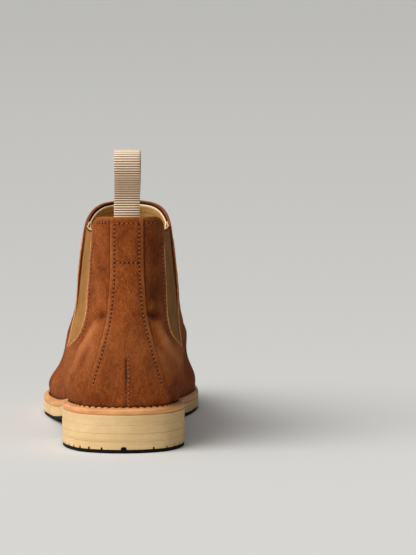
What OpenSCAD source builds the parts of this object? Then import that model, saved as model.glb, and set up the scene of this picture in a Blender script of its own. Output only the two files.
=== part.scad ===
// Chelsea boot for the left foot, upright on its sole.
// The toe points along +Y, the inner side of the foot faces +X and +Z is up.
// All sizes are in millimetres.

/* [Overall size] */

// Length of the sole from the back of the heel to the toe
sole_length = 300; // [250:1:360]

// Width of the sole across the ball of the foot
sole_width = 110; // [92:1:130]

// Height of the back of the topline above the ground
shaft_height = 152.5; // [127:0.5:183]

/* [Sole] */

// Thickness of the black tread
tread_thickness = 2.4; // [2:0.1:3]

// Thickness of the cream midsole
midsole_thickness = 6.6; // [5.5:0.1:8]

// Thickness of the welt
welt_thickness = 4; // [3:0.1:5]

// How much higher the heel stands than the ball of the foot
heel_rise = 15.8; // [15:0.1:19]

// How far the toe curves up above the ball
toe_spring = 10.5; // [7:0.1:13]

// Thickness of the lower heel lift
lower_lift = 5.1; // [4:0.1:6.2]

// Thickness of the middle heel lift
middle_lift = 5.3; // [4:0.1:5.8]

// Length of the heel block along the sole
heel_length = 73; // [60:1:80]

// Height of the notches in the lower edge of the heel
notch_height = 2; // [1:0.1:3]

/* [Upper] */

// Thickness of the suede
suede = 1.7; // [1.2:0.1:1.9]

// Space between the suede and the lining
lining_gap = 2.1; // [1.75:0.05:2.5]

// Thickness of the lining
lining = 1; // [0.7:0.1:1.3]

// Thickness of the backstay strip
backstay_thickness = 1.3; // [1:0.1:1.6]

// Half of the backstay's width at the topline
backstay_half = 10.3; // [9:0.1:11.5]

// How far the backstay and the tab sit to the inner side of the heel's middle
back_centre = 2.4; // [0:0.1:3]

// Thickness of the elastic gore
elastic = 1.2; // [0.8:0.1:1.4]

// Thread width in the stitched rows
thread = 0.8; // [0.5:0.1:1]

/* [Inside] */

// Thickness of the insole board
board = 2.2; // [1.5:0.1:2.5]

// Thickness of the cushioned footbed
footbed_thickness = 3.5; // [2.5:0.1:4.5]

// Thickness of the steel shank
shank_thickness = 1.5; // [1:0.1:1.6]

/* [Pull tab] */

// Width of the webbing
webbing_width = 17; // [14:0.5:19]

// Thickness of one layer of webbing
webbing = 0.85; // [0.7:0.05:0.85]

// Height of the loop above the topline
loop_height = 43.5; // [36:0.5:52]

// Half of the loop's depth at its widest
loop_radius = 7.5; // [6.5:0.1:9]

/* [Hidden] */

suede_color = [0.54, 0.29, 0.14];
lining_color = [0.75, 0.56, 0.33];
webbing_color = [0.80, 0.69, 0.58];
cream_color = [0.89, 0.77, 0.58];
tread_color = [0.04, 0.03, 0.02];
thread_color = [0.42, 0.22, 0.10];

// Scale factors from the overall sizes; the shape tables are for 300, 110 and 152.5
kx = sole_width / 110;
ky = sole_length / 300;
feather_back = tread_thickness + midsole_thickness + welt_thickness + heel_rise;
kz = (shaft_height - feather_back) / (152.5 - 28.8);
gap = 0.15;

// The stance of the whole boot: its box is centred over the origin
shift_x = (55.95 - 53.49) / 2 * kx;
shift_y = -sole_length / 2;

// Sole outline: distance from the heel, outer edge, inner edge
outline_rows = [[0, 0, 0], [3.5, -18, 18], [14, -31.5, 31.5], [38, -40, 40],
    [78, -39.5, 37], [118, -42, 34.5], [158, -49.5, 40], [192, -55.5, 49],
    [222, -54.5, 53.5], [250, -46, 50.5], [274, -32.5, 41], [291, -17, 27],
    [300, 5, 5]];
outline_last = len(outline_rows) - 1;

// Rise of the foot's bed above its height at the ball: at the heel, then at the toe
rise_rows = [[0, 1, 0], [30, 0.98, 0], [62, 0.87, 0], [90, 0.67, 0],
    [118, 0.4, 0], [140, 0.185, 0], [160, 0.06, 0], [200, 0, 0], [230, 0, 0.02],
    [250, 0, 0.24], [275, 0, 0.6], [300, 0, 1]];

// Half width of the footprint, used to shrink it evenly
half_rows = [[0, 39], [80, 38], [118, 38], [158, 45], [205, 54], [300, 50]];

// Rows of the upper, from the feather edge to the topline:
// level, back y and height, front y and height, half widths outer and inner,
// centre at the back and front, widest point, roundness back and front,
// share of the footprint's shape, bulge at the heel and at the forefoot
slice_rows = [
    [0.00, 5.5, 28.8, 294.5, 28, 42, 42, 0, 5, 0.6, 2, 2, 1, -4.6, -3.6],
    [0.07, 3.4, 36.5, 297, 33.5, 42, 42, 0, 5, 0.6, 2, 2, 1, -1.2, -3.2],
    [0.16, 2.2, 47, 296.5, 41.5, 42, 42, 0, 5, 0.6, 2, 2, 1, 0.4, -9],
    [0.29, 2.8, 61.5, 283, 53.5, 45.2, 48, 1.5, 5, 0.58, 2.3, 2.1, 0.72, -0.6, -12.6],
    [0.42, 6.8, 77, 250, 64.5, 40.6, 41.6, 1.8, 4, 0.53, 2.3, 1.9, 0.36, -3, -15],
    [0.56, 11.5, 94, 207, 80.5, 36, 36.6, 2, 4, 0.5, 2.2, 1.9, 0.1, -6, -18],
    [0.70, 14.5, 111, 168, 105, 33.5, 33, 2.5, 4, 0.49, 2.2, 2, 0, -6, -20],
    [0.85, 15.5, 131, 140, 134, 31, 30.1, 3, 4, 0.48, 2.3, 2.1, 0, -6, -20],
    [1.00, 14.5, 152.5, 124, 156.4, 28.3, 27.4, 3.5, 4.5, 0.48, 2.4, 2.2, 0, -6, -20]];

// Topline: distance from the heel, level of the edge
topline_rows = [[14, 1], [20, 0.997], [25, 0.992], [28, 0.984], [30.3, 0.972],
    [31.8, 0.955], [32.8, 0.932], [60, 0.922], [79.5, 0.914], [82, 0.92], [90, 0.943],
    [100, 0.966], [112, 0.985], [124, 0.995]];

// Gore opening: level, distance of its back edge and of its front edge
gore_low = 0.325;
gore_rows = [[0.325, 54, 54], [0.331, 47, 62], [0.342, 41.5, 66.5], [0.36, 36.3, 70],
    [0.385, 32.6, 72.5], [0.415, 30.9, 75], [0.45, 30.7, 77], [0.5, 32.3, 78.6],
    [0.54, 34.4, 79.5], [0.6, 36.6, 80.6], [0.67, 37.6, 81], [0.88, 33.7, 80], [1, 32.5, 80]];

// Side seam below the gore: level, distance from the heel
side_seam_rows = [[-0.06, 97], [0, 96], [0.08, 89], [0.16, 79], [0.24, 66.5], [0.325, 54]];

// Half width of the backstay: level, distance from the centre
backstay_rows = [[-0.06, 30], [0, 29.5], [0.08, 27], [0.14, 24.8], [0.2, 22.8],
    [0.28, 20], [0.35, 17.6], [0.415, 15.4], [0.46, 13.9], [0.51, 12.8], [0.575, 11.8],
    [0.65, 11], [0.75, 10.4], [1, 10.3]];

function clamp(x, low, high) = min(max(x, low), high);
function unit(v) = v / norm(v);
function mix(a, b, f) = a + (b - a) * f;
function steps(a, b, n) = [for (i = [0 : n]) mix(a, b, i / n)];

// Smooth curve through the rows of a table whose first column rises
function span(rows, x, i = 0) =
    (i >= len(rows) - 2 || x < rows[i + 1][0]) ? i : span(rows, x, i + 1);
function slope(rows, j) =
    let (a = rows[max(j - 1, 0)], b = rows[min(j + 1, len(rows) - 1)])
    (b - a) / (b[0] - a[0]);
function smooth(rows, x) =
    let (i = span(rows, x),
        a = rows[i],
        b = rows[i + 1],
        h = b[0] - a[0],
        t = clamp((x - a[0]) / h, 0, 1),
        t2 = t * t,
        t3 = t2 * t)
    (2 * t3 - 3 * t2 + 1) * a + (t3 - 2 * t2 + t) * h * slope(rows, i)
        + (3 * t2 - 2 * t3) * b + (t3 - t2) * h * slope(rows, i + 1);

// Point of the sole outline: u runs from heel to toe, side is 0 outside and 1 inside
function outline_row(i, side) =
    i < 0 ? outline_row(-i, 1 - side)
    : i > outline_last ? outline_row(2 * outline_last - i, 1 - side)
    : [outline_rows[i][1 + side], outline_rows[i][0]];
function outline(u, side) =
    let (s = clamp(u, 0, 1) * outline_last,
        i = min(floor(s), outline_last - 1),
        t = s - i,
        a = outline_row(i - 1, side),
        b = outline_row(i, side),
        c = outline_row(i + 1, side),
        d = outline_row(i + 2, side))
    0.5 * (2 * b + (c - a) * t + (2 * a - 5 * b + 4 * c - d) * t * t
        + (3 * b - a - 3 * c + d) * t * t * t);

// Height of the feather edge at a distance from the heel, both for the table's length
function feather(y) =
    let (r = smooth(rise_rows, y))
    tread_thickness + midsole_thickness + welt_thickness
        + heel_rise * r[1] + toe_spring * r[2];

// Place on the upper before the offset: t is the level, w runs 0 heel, 1 toe, 2 heel
function place(t, w) =
    let (ww = w < 0 ? w + 2 : w > 2 ? w - 2 : w,
        side = ww < 1 ? 0 : 1,
        u = ww < 1 ? ww : 2 - ww,
        r = smooth(slice_rows, max(t, 0)),
        o = outline(u, side),
        v = o[1] / 300,
        q = min(v < r[9] ? v / r[9] : (1 - v) / (1 - r[9]), 1),
        n = v < r[9] ? r[10] : r[11],
        e = r[5 + side] * pow(1 - pow(1 - q, n), 1 / n),
        ell = mix(r[7], r[8], v) + (2 * side - 1) * e,
        s = clamp((o[1] - 60) / 100, 0, 1),
        bulge = mix(r[13], r[14] * (side == 0 ? 1.16 : 0.86), s * s * (3 - 2 * s)),
        f = 5 * v + (o[0] - 5 * v) * (1 + bulge / smooth(half_rows, o[1])[1]),
        x = mix(ell, f, r[12]),
        y = mix(r[1], r[3], v),
        k = pow(max(0, 1 - t / 0.45), 1.3),
        dev = feather(o[1]) - mix(28.8, 28, v),
        z = mix(r[2], r[4], v))
    [x * kx, y * ky,
        t <= 0 ? feather(o[1]) + 80 * t
        : (1 - k) * (feather_back + (z - 28.8) * kz) + k * (z + dev)];

// The same place pushed out along the surface by d
function along(t, w) =
    let (e = 0.012,
        tt = max(t, 0.02),
        a = place(tt, w + e) - place(tt, w - e),
        b = place(tt + 0.02, w) - place(tt - 0.02, w),
        n = cross(b, a))
    unit(t <= 0.001 ? [n[0], n[1], 0] : n);
function skin_point(t, w, d) =
    place(t, w) + d * along(t, w) + [shift_x, shift_y, 0];

// Way round the boot (0 to 1) at which an outline distance is reached
function find_u(y, low = 0, high = 1, n = 16) =
    let (m = (low + high) / 2)
    n == 0 ? m
    : outline(m, 0)[1] < y ? find_u(y, m, high, n - 1) : find_u(y, low, m, n - 1);
function u_at(t, y) =
    let (r = smooth(slice_rows, max(t, 0)))
    find_u(clamp((y - r[1]) / (r[3] - r[1]), 0, 1) * 300);
function w_at(t, y, side) = side == 0 ? u_at(t, y) : 2 - u_at(t, y);

// Way round at which the surface is x away from the backstay's centre line
function find_way(t, x, low = -0.4, high = 0.4, n = 15) =
    let (m = (low + high) / 2)
    n == 0 ? m
    : place(t, m)[0] > x ? find_way(t, x, m, high, n - 1) : find_way(t, x, low, m, n - 1);
function find_x(t, x, side) = find_way(t, back_centre * kx + (side == 0 ? -x : x));

// Level of the topline at a way round
function edge_level(w) = smooth(topline_rows, place(1, w)[1] / ky)[1];

// A grid of places: levels ts, way round from from[i] to to[i], n columns;
// the top edge drops below the topline at the back and sides and rises by lift at the front
function grid(ts, from, to, n, d, drop = 0, lift = 0) =
    [for (i = [0 : len(ts) - 1]) [for (j = [0 : n])
        let (w = mix(from[i], to[i], j / n),
            g = max(0, (ts[i] - 0.8) / 0.2),
            f = clamp((place(1, w)[1] / ky - 80) / 30, 0, 1))
        skin_point(min(ts[i] + g * (edge_level(w) - drop + lift * f - 1), 1), w, d)]];

// Solid between an outer and an inner grid of the same size
module shell(outer, inner) {
    rows = len(outer);
    cols = len(outer[0]);
    n = rows * cols;
    flat = [for (r = outer) for (p = r) p, for (r = inner) for (p = r) p];
    border = concat(
        [for (j = [0 : cols - 2]) j],
        [for (i = [0 : rows - 2]) i * cols + cols - 1],
        [for (j = [cols - 1 : -1 : 1]) (rows - 1) * cols + j],
        [for (i = [rows - 1 : -1 : 1]) i * cols]);
    m = len(border);
    faces = concat(
        [for (i = [0 : rows - 2]) for (j = [0 : cols - 2])
            let (a = i * cols + j) for (f = [[a, a + cols, a + 1], [a + 1, a + cols, a + cols + 1]]) f],
        [for (i = [0 : rows - 2]) for (j = [0 : cols - 2])
            let (a = n + i * cols + j) for (f = [[a, a + 1, a + cols], [a + 1, a + cols + 1, a + cols]]) f],
        [for (k = [0 : m - 1])
            let (a = border[k], b = border[(k + 1) % m])
            for (f = [[a, b, n + b], [a, n + b, n + a]]) f]);
    polyhedron(flat, faces, convexity = 8);
}

// Solid through a row of sections that all have the same number of points
module sweep(sections, closed = false) {
    s = len(sections);
    m = len(sections[0]);
    last = closed ? s - 1 : s - 2;
    faces = concat(
        [for (i = [0 : last]) for (j = [0 : m - 1])
            let (a = i * m + j,
                b = i * m + (j + 1) % m,
                c = ((i + 1) % s) * m + (j + 1) % m,
                d = ((i + 1) % s) * m + j)
            for (f = [[a, b, c], [a, c, d]]) f],
        closed ? [] : [[for (j = [m - 1 : -1 : 0]) j]],
        closed ? [] : [[for (j = [0 : m - 1]) (s - 1) * m + j]]);
    polyhedron([for (p = sections) for (q = p) q], faces, convexity = 8);
}

// Panel of the upper between two depths under its outer surface
module panel(ts, from, to, n, top, bottom, drop = 0, lift = 0) {
    shell(grid(ts, from, to, n, top, drop, lift), grid(ts, from, to, n, bottom, drop, lift));
}

// Rows of levels used by the panels
low_levels = [-0.05, 0, 0.05, 0.11, 0.17, 0.23, 0.285];
gore_levels = [0.325, 0.331, 0.342, 0.36, 0.385, 0.415];
high_levels = [0.48, 0.54, 0.61, 0.68, 0.75, 0.82, 0.88, 0.94, 0.975, 1];
all_levels = concat(low_levels, gore_levels, high_levels);
plain_levels = [0.02, 0.07, 0.13, 0.2, 0.27, 0.34, 0.41, 0.48, 0.55, 0.62, 0.7, 0.78,
    0.85, 0.91, 0.96, 1];

function seam(t, column, side) =
    t < gore_low ? w_at(t, smooth(side_seam_rows, t)[1], side)
    : w_at(t, smooth(gore_rows, t)[column], side);

module vamp() {
    color(suede_color)
        panel(all_levels, [for (t = all_levels) seam(t, 2, 0) + 0.001],
            [for (t = all_levels) seam(t, 2, 1) - 0.001], 56, 0, -suede);
}

module quarter(side) {
    back = [for (t = all_levels) find_x(t, 0.2, side)];
    front = [for (t = all_levels)
        let (w = seam(t, 1, side)) side == 0 ? w - 0.001 : w - 2 + 0.001];
    color(suede_color)
        panel(all_levels, side == 0 ? back : front, side == 0 ? front : back, 14, 0, -suede);
}

module quarter_lateral() {
    quarter(0);
}

module quarter_medial() {
    quarter(1);
}

backstay_levels = [for (t = all_levels) if (t >= 0) t];
backstay_top = backstay_thickness + 0.4;

function strip_half(t) = smooth(backstay_rows, t)[1] * backstay_half / 10.3 * kx;

module backstay() {
    color(suede_color)
        panel(backstay_levels, [for (t = backstay_levels) find_x(t, strip_half(t), 1)],
            [for (t = backstay_levels) find_x(t, strip_half(t), 0)],
            14, backstay_top, 0.4);
}

module gore(side) {
    ts = [0.275, 0.28, 0.293, 0.31, 0.34, 0.375, 0.42, 0.48, 0.55, 0.62, 0.7, 0.78, 0.85, 0.92, 1];
    spread = [4, 9, 15, 21, 26, 29, 30, 29.5, 28, 27, 27, 27, 27, 27, 27];
    from = [for (i = [0 : len(ts) - 1]) w_at(ts[i], 57 - spread[i], side)];
    to = [for (i = [0 : len(ts) - 1]) w_at(ts[i], 57 + spread[i], side)];
    color([0.65, 0.47, 0.31])
        panel(ts, side == 0 ? from : to, side == 0 ? to : from, 8,
            -suede - 0.3, -suede - 0.3 - elastic, 0.004);
}

module gore_lateral() {
    gore(0);
}

module gore_medial() {
    gore(1);
}

module vamp_lining() {
    color(lining_color)
        panel(plain_levels, [for (t = plain_levels) w_at(t, mix(100, 61, min(t / 0.35, 1)), 0)],
            [for (t = plain_levels) w_at(t, mix(100, 61, min(t / 0.35, 1)), 1)],
            48, -suede - lining_gap, -suede - lining_gap - lining, 0.006, 0.018);
}

module quarter_lining() {
    color(lining_color)
        panel(plain_levels,
            [for (t = plain_levels) -u_at(t, mix(99.4, 60.4, min(t / 0.35, 1)))],
            [for (t = plain_levels) u_at(t, mix(99.4, 60.4, min(t / 0.35, 1)))],
            24, -suede - lining_gap, -suede - lining_gap - lining, 0.006);
}

module toe_puff() {
    ts = [0.02, 0.08, 0.14, 0.2, 0.26];
    color([0.85, 0.82, 0.74])
        panel(ts, [for (t = ts) 0.8], [for (t = ts) 1.2], 20, -suede - 0.6, -suede - 1.7);
}

module heel_counter() {
    ts = [0.02, 0.08, 0.14, 0.2];
    color([0.6, 0.45, 0.3])
        panel(ts, [for (t = ts) -0.27], [for (t = ts) 0.27], 14, -suede - 0.6, -suede - 1.7);
}

// Plate across the foot: inset from the feather line, heights above the feather
function plate(us, d, top, bottom, level = 0) =
    [for (u = us)
        let (a = skin_point(level, u, d),
            b = skin_point(level, 2 - u, d),
            za = feather((a[1] - shift_y) / ky),
            zb = feather((b[1] - shift_y) / ky))
        [[a[0], a[1], za + top], [b[0], b[1], zb + top],
            [b[0], b[1], zb + bottom], [a[0], a[1], za + bottom]]];

// Plate of the full outline between two heights above the feather
function full_plate(us, d, top, bottom) =
    [for (u = us)
        let (k = 1 - d / 45,
            a = outline(u, 0),
            b = outline(u, 1),
            y = d + a[1] * (1 - d / 150),
            z = feather(y))
        [[(a[0] * k) * kx + shift_x, y * ky + shift_y, z + top],
            [(b[0] * k) * kx + shift_x, y * ky + shift_y, z + top],
            [(b[0] * k) * kx + shift_x, y * ky + shift_y, max(z + bottom, 0)],
            [(a[0] * k) * kx + shift_x, y * ky + shift_y, max(z + bottom, 0)]]];

plate_us = concat([0.008, 0.03, 0.06], steps(0.1, 0.9, 27), [0.94, 0.97, 0.992]);

module footbed() {
    color([0.72, 0.6, 0.45])
        sweep(plate(plate_us, -suede - lining_gap - lining - 0.9, footbed_thickness, 0.1));
}

module insole_board() {
    color([0.8, 0.7, 0.55])
        sweep(plate(plate_us, -suede - 0.3, 0, -board));
}

shank_back = 50 * ky;
shank_front = 150 * ky;
filler = welt_thickness - board;
shank_height = min(shank_thickness, filler - 0.4);

module shank() {
    ys = steps(shank_back, shank_front, 10);
    color([0.6, 0.6, 0.62])
        sweep([for (y = ys)
            let (z = feather(y / ky) - board - 0.12)
            [[shift_x - 7, y + shift_y, z], [shift_x + 7, y + shift_y, z],
                [shift_x + 7, y + shift_y, z - shank_height],
                [shift_x - 7, y + shift_y, z - shank_height]]]);
}

module cork_filler() {
    color([0.62, 0.45, 0.28])
        difference() {
            sweep(plate(plate_us, -suede - 0.3, -board - 0.1, -welt_thickness + 0.25));
            translate([shift_x - 7.5, shank_back + shift_y - 0.5, 0])
                cube([15, shank_front - shank_back + 1, 60]);
        }
}

welt_ws = [for (i = [0 : 83]) i / 42 + 0.001];

module welt() {
    color([0.87, 0.66, 0.46])
        sweep([for (w = welt_ws)
            let (side = w < 1 ? 0 : 1,
                o = outline(w < 1 ? w : 2 - w, side),
                a = skin_point(0, w, gap),
                z = feather(o[1]),
                x = o[0] * kx + shift_x,
                y = o[1] * ky + shift_y)
            [[x, y, z], [a[0], a[1], z], [a[0], a[1], z - welt_thickness + 0.1],
                [x, y, z - welt_thickness + 0.1]]], true);
}

module midsole() {
    top = -welt_thickness;
    color(cream_color)
        sweep(full_plate(plate_us, 0, top, top - midsole_thickness));
}

sole_top = -welt_thickness - midsole_thickness;
heel_us = concat([0.008, 0.03, 0.06], steps(0.1, find_u(heel_length), 8));
lift_top = tread_thickness + lower_lift;
wedge_bottom = lift_top + middle_lift;

function heel_edge(inset) =
    let (k = 1 - inset / 40)
    [for (i = [0 : 2 * len(heel_us) - 1])
        let (side = i < len(heel_us) ? 0 : 1,
            u = heel_us[side == 0 ? len(heel_us) - 1 - i : i - len(heel_us)],
            o = outline(u, side))
        [o[0] * kx * k + shift_x, (40 + (o[1] - 40) * k) * ky + shift_y]];

module heel_wedge() {
    color(cream_color)
        sweep([for (u = heel_us)
            let (a = outline(u, 0),
                b = outline(u, 1),
                z = feather(a[1]) + sole_top - 0.15,
                y = a[1] * ky + shift_y)
            [[a[0] * kx + shift_x, y, z], [b[0] * kx + shift_x, y, z],
                [b[0] * kx + shift_x, y, wedge_bottom], [a[0] * kx + shift_x, y, wedge_bottom]]]);
}

module heel_lift_upper() {
    color(cream_color)
        translate([0, 0, lift_top])
            linear_extrude(middle_lift)
                polygon(heel_edge(0));
}

// Notches radiate from the middle of the heel; the one at the back is wider
module notches(wide, deep, tall) {
    for (a = [-74, -63, -53, -43.6, -33.4, -20.8, 0, 28.7, 43.3, 55, 65, 75])
        translate([shift_x, 40 * ky + shift_y, tread_thickness])
            rotate(a)
                translate([a == 0 ? -wide : -wide / 2, -46 * max(kx, ky), 0])
                    cube([a == 0 ? 2 * wide : wide, 46 * max(kx, ky) - deep * min(kx, ky), tall]);
}

module heel_lift_lower() {
    color(cream_color)
        difference() {
            translate([0, 0, tread_thickness])
                linear_extrude(lower_lift)
                    polygon(heel_edge(0));
            translate([0, 0, -0.1])
                notches(1.5, 36.5, notch_height + 0.1);
        }
}

module heel_tread() {
    color(tread_color)
        union() {
            linear_extrude(tread_thickness)
                polygon(heel_edge(1));
            intersection() {
                translate([0, 0, tread_thickness - 0.1])
                    linear_extrude(notch_height)
                        polygon(heel_edge(0.9));
                translate([0, 0, -0.1])
                    notches(1.3, 36.8, notch_height);
            }
        }
}

module forefoot_tread() {
    us = concat(steps(find_u(heel_length + 5), 0.9, 18), [0.94, 0.97, 0.992]);
    color(tread_color)
        sweep(full_plate(us, 1, sole_top - 0.15, sole_top - tread_thickness - 0.15));
}

// Thin ridge of thread along a row of levels and ways round
module stitches(places, d) {
    sweep([for (i = [0 : len(places) - 1])
        let (p = places[i],
            q = places[min(i + 1, len(places) - 1)],
            o = places[max(i - 1, 0)],
            n = along(p[0], p[1]),
            along_row = unit(skin_point(q[0], q[1], d) - skin_point(o[0], o[1], d)),
            c = skin_point(p[0], p[1], d),
            s = cross(n, along_row) * thread / 2)
        [c + s, c + s + n * 0.35, c - s + n * 0.35, c - s]]);
}

module backstay_stitching() {
    ts = [0.16, 0.2, 0.25, 0.31, 0.37, 0.44, 0.52, 0.6, 0.7, 0.8, 0.9, 0.975];
    d = backstay_top + 0.25;
    cross_t = 0.79;
    color(thread_color)
        union() {
            for (side = [0, 1])
                stitches([for (t = ts)
                    [t, find_x(t, strip_half(t) - 3 * kx, side)]], d);
            stitches([for (x = steps(-6.3, 6.3, 8))
                [cross_t, find_x(cross_t, abs(x) * kx, x < 0 ? 0 : 1)]], d);
        }
}

module heel_seam_stitching() {
    ts = [0.02, 0.07, 0.12, 0.17, 0.22, 0.27, 0.31];
    color(thread_color)
        union() {
            for (side = [0, 1])
                stitches([for (t = ts) [t, find_x(t, 1.5, side)]], backstay_top + 0.25);
        }
}

module gore_stitching() {
    ts = [0.345, 0.36, 0.39, 0.43, 0.48, 0.54, 0.6, 0.7, 0.8, 0.87];
    color(thread_color)
        union() {
            for (side = [0, 1])
                stitches([for (t = ts)
                    [t, w_at(t, smooth(gore_rows, t)[1] - 2.5, side)]], 0.3);
            for (side = [0, 1])
                stitches([for (t = ts)
                    [t, w_at(t, smooth(gore_rows, t)[2] + 2.5, side)]], 0.3);
        }
}

module topline_stitching() {
    color(thread_color)
        union() {
            for (side = [0, 1])
                stitches([for (f = steps(0, 1, 6))
                    let (w = find_x(0.975, mix(backstay_half + 2, 19, f) * kx, side))
                    [edge_level(w) - 0.024, w]], 0.3);
            stitches([for (w = steps(0.48, 1.52, 28)) [edge_level(w) - 0.02, w]], 0.3);
        }
}

module side_seam_stitching() {
    ts = [0.02, 0.06, 0.1, 0.14, 0.18, 0.22, 0.26, 0.3];
    color(thread_color)
        union() {
            for (side = [0, 1])
                stitches([for (t = ts)
                    [t, w_at(t, smooth(side_seam_rows, t)[1] - 3, side)]], 0.3);
        }
}

module welt_stitching() {
    color([0.9, 0.8, 0.62])
        sweep([for (w = welt_ws)
            let (side = w < 1 ? 0 : 1,
                o = outline(w < 1 ? w : 2 - w, side),
                p = skin_point(0, w, 2.4),
                n = along(0, w) * thread / 2,
                z = feather(o[1]) + 0.15)
            [[p[0] + n[0], p[1] + n[1], z + 0.3], [p[0] - n[0], p[1] - n[1], z + 0.3],
                [p[0] - n[0], p[1] - n[1], z], [p[0] + n[0], p[1] + n[1], z]]], true);
}

// Pull tab: the legs lie together in the gap behind the lining, then open into a loop
tab_depth = -suede - lining_gap / 2;
tab_y = place(1, 0)[1] - tab_depth + shift_y;
tab_pivot = shaft_height + 2;

module pull_tab_anchor() {
    ts = [0.78, 0.82, 0.86, 0.9, 0.94, 0.98, 1];
    color(webbing_color)
        panel(ts, [for (t = ts) find_x(t, webbing_width / 2, 1)],
            [for (t = ts) find_x(t, webbing_width / 2, 0)], 6,
            tab_depth + webbing, tab_depth - webbing);
}

// Half of the loop's profile from its top down to the neck, t inside the outer face
function loop_side(t) =
    let (top = shaft_height + loop_height,
        middle = top - loop_radius,
        neck = tab_pivot + 8,
        r = loop_radius - t)
    concat([for (a = [0 : 10 : 90]) [r * sin(a), middle + r * cos(a)]],
        [for (f = steps(0, 1, 8)) if (f > 0)
            [mix(r, max(webbing - t, 0.02), f * f * (3 - 2 * f)), mix(middle, neck, f)]]);
function mirrored(side) = [for (i = [len(side) - 1 : -1 : 1]) [-side[i][0], side[i][1]]];

module pull_tab_loop() {
    outer = loop_side(0);
    inner = loop_side(webbing);
    knuckle = [for (a = [90 : 15 : 270]) [webbing * sin(a), tab_pivot + webbing * cos(a)]];
    color(webbing_color)
        translate([shift_x + back_centre * kx + webbing_width / 2, tab_y, 0])
            rotate([90, 0, -90])
                linear_extrude(webbing_width)
                    difference() {
                        polygon(concat(outer, knuckle, mirrored(outer)));
                        polygon(concat(inner, mirrored(inner)));
                    }
}

vamp();
quarter_lateral();
quarter_medial();
backstay();
gore_lateral();
gore_medial();
pull_tab_anchor();
pull_tab_loop();
vamp_lining();
quarter_lining();
toe_puff();
heel_counter();
footbed();
insole_board();
shank();
cork_filler();
welt();
midsole();
heel_wedge();
heel_lift_upper();
heel_lift_lower();
heel_tread();
forefoot_tread();
backstay_stitching();
heel_seam_stitching();
gore_stitching();
topline_stitching();
side_seam_stitching();
welt_stitching();
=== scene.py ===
import math
import random

import bmesh
import bpy
import numpy as np
from mathutils import Matrix, Vector, noise


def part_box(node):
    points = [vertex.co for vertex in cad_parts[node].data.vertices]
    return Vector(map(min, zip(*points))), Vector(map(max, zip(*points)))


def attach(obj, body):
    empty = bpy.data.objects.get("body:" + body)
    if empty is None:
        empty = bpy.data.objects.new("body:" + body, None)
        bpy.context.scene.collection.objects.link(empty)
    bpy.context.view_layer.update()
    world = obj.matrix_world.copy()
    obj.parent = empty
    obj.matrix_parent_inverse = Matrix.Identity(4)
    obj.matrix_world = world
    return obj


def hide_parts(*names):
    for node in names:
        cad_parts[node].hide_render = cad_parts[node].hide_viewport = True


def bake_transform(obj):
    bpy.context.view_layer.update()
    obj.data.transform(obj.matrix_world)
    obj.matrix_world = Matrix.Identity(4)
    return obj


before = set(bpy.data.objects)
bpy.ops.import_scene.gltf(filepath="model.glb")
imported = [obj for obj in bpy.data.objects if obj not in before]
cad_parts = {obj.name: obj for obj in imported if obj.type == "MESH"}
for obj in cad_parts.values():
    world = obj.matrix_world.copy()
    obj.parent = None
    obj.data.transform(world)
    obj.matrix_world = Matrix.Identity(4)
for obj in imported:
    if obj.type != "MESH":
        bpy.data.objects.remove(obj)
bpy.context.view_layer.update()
sole_low, sole_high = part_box("midsole")
heel_low, heel_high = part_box("heel_lift_lower")
random.seed(4)

# The boot's lines, in millimetres: x to the inner side, y from the back of the heel to the toe,
# z up from the ground. The middle of the sole's width lies OFF_MIDDLE to the outer side of x = 0.
OFF_MIDDLE = 1.23
SHIFT = np.array([(sole_low.x + sole_high.x) * 500 + OFF_MIDDLE, sole_low.y * 1000, 0.0])
TREAD, MIDSOLE, WELT = 2.4, 6.6, 4.0
HEEL_RISE, TOE_SPRING = 15.8, 10.5
LIFT_TOP = heel_high.z * 1000
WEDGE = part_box("heel_wedge")[0].z * 1000
BACK = 2.4                              # the backstay's middle, from x = 0
SUEDE, GAP, LINING = 1.7, 2.1, 1.0      # suede, space behind it, lining
HEEL_LENGTH = 73.0
PANEL_ROW = 2.6                         # stitch rows, in from a panel's cut edge
STRIP_ROW = 2.7                         # stitch rows, in from the backstay's edge
HOLD_ROW = 0.79                         # level of the row that holds the pull tab
TOP_ROW = 0.972                         # level of the row along the topline at the back
HEEL_SEAM = -0.85                       # the backstay's centre seam, from its middle
# The sole's edge: y, x on the outer side, x on the inner side
OUTLINE = [[0, 0, 0], [3.5, -18, 18], [14, -31.5, 31.5], [38, -40, 40],
           [78, -39.5, 37], [118, -42, 34.5], [158, -49.5, 40], [192, -55.5, 49],
           [222, -54.5, 53.5], [250, -46, 50.5], [274, -32.5, 41], [291, -17, 27],
           [300, 5, 5]]
# y, share of the heel's rise, share of the toe spring
RISE = [[0, 1, 0], [30, 0.98, 0], [62, 0.87, 0], [90, 0.67, 0], [118, 0.4, 0],
        [140, 0.185, 0], [160, 0.06, 0], [200, 0, 0], [230, 0, 0.02], [250, 0, 0.24],
        [275, 0, 0.6], [300, 0, 1]]
# y, half width that the last's bulge is measured against
HALF = [[0, 39], [80, 38], [118, 38], [158, 45], [205, 54], [300, 50]]
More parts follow.
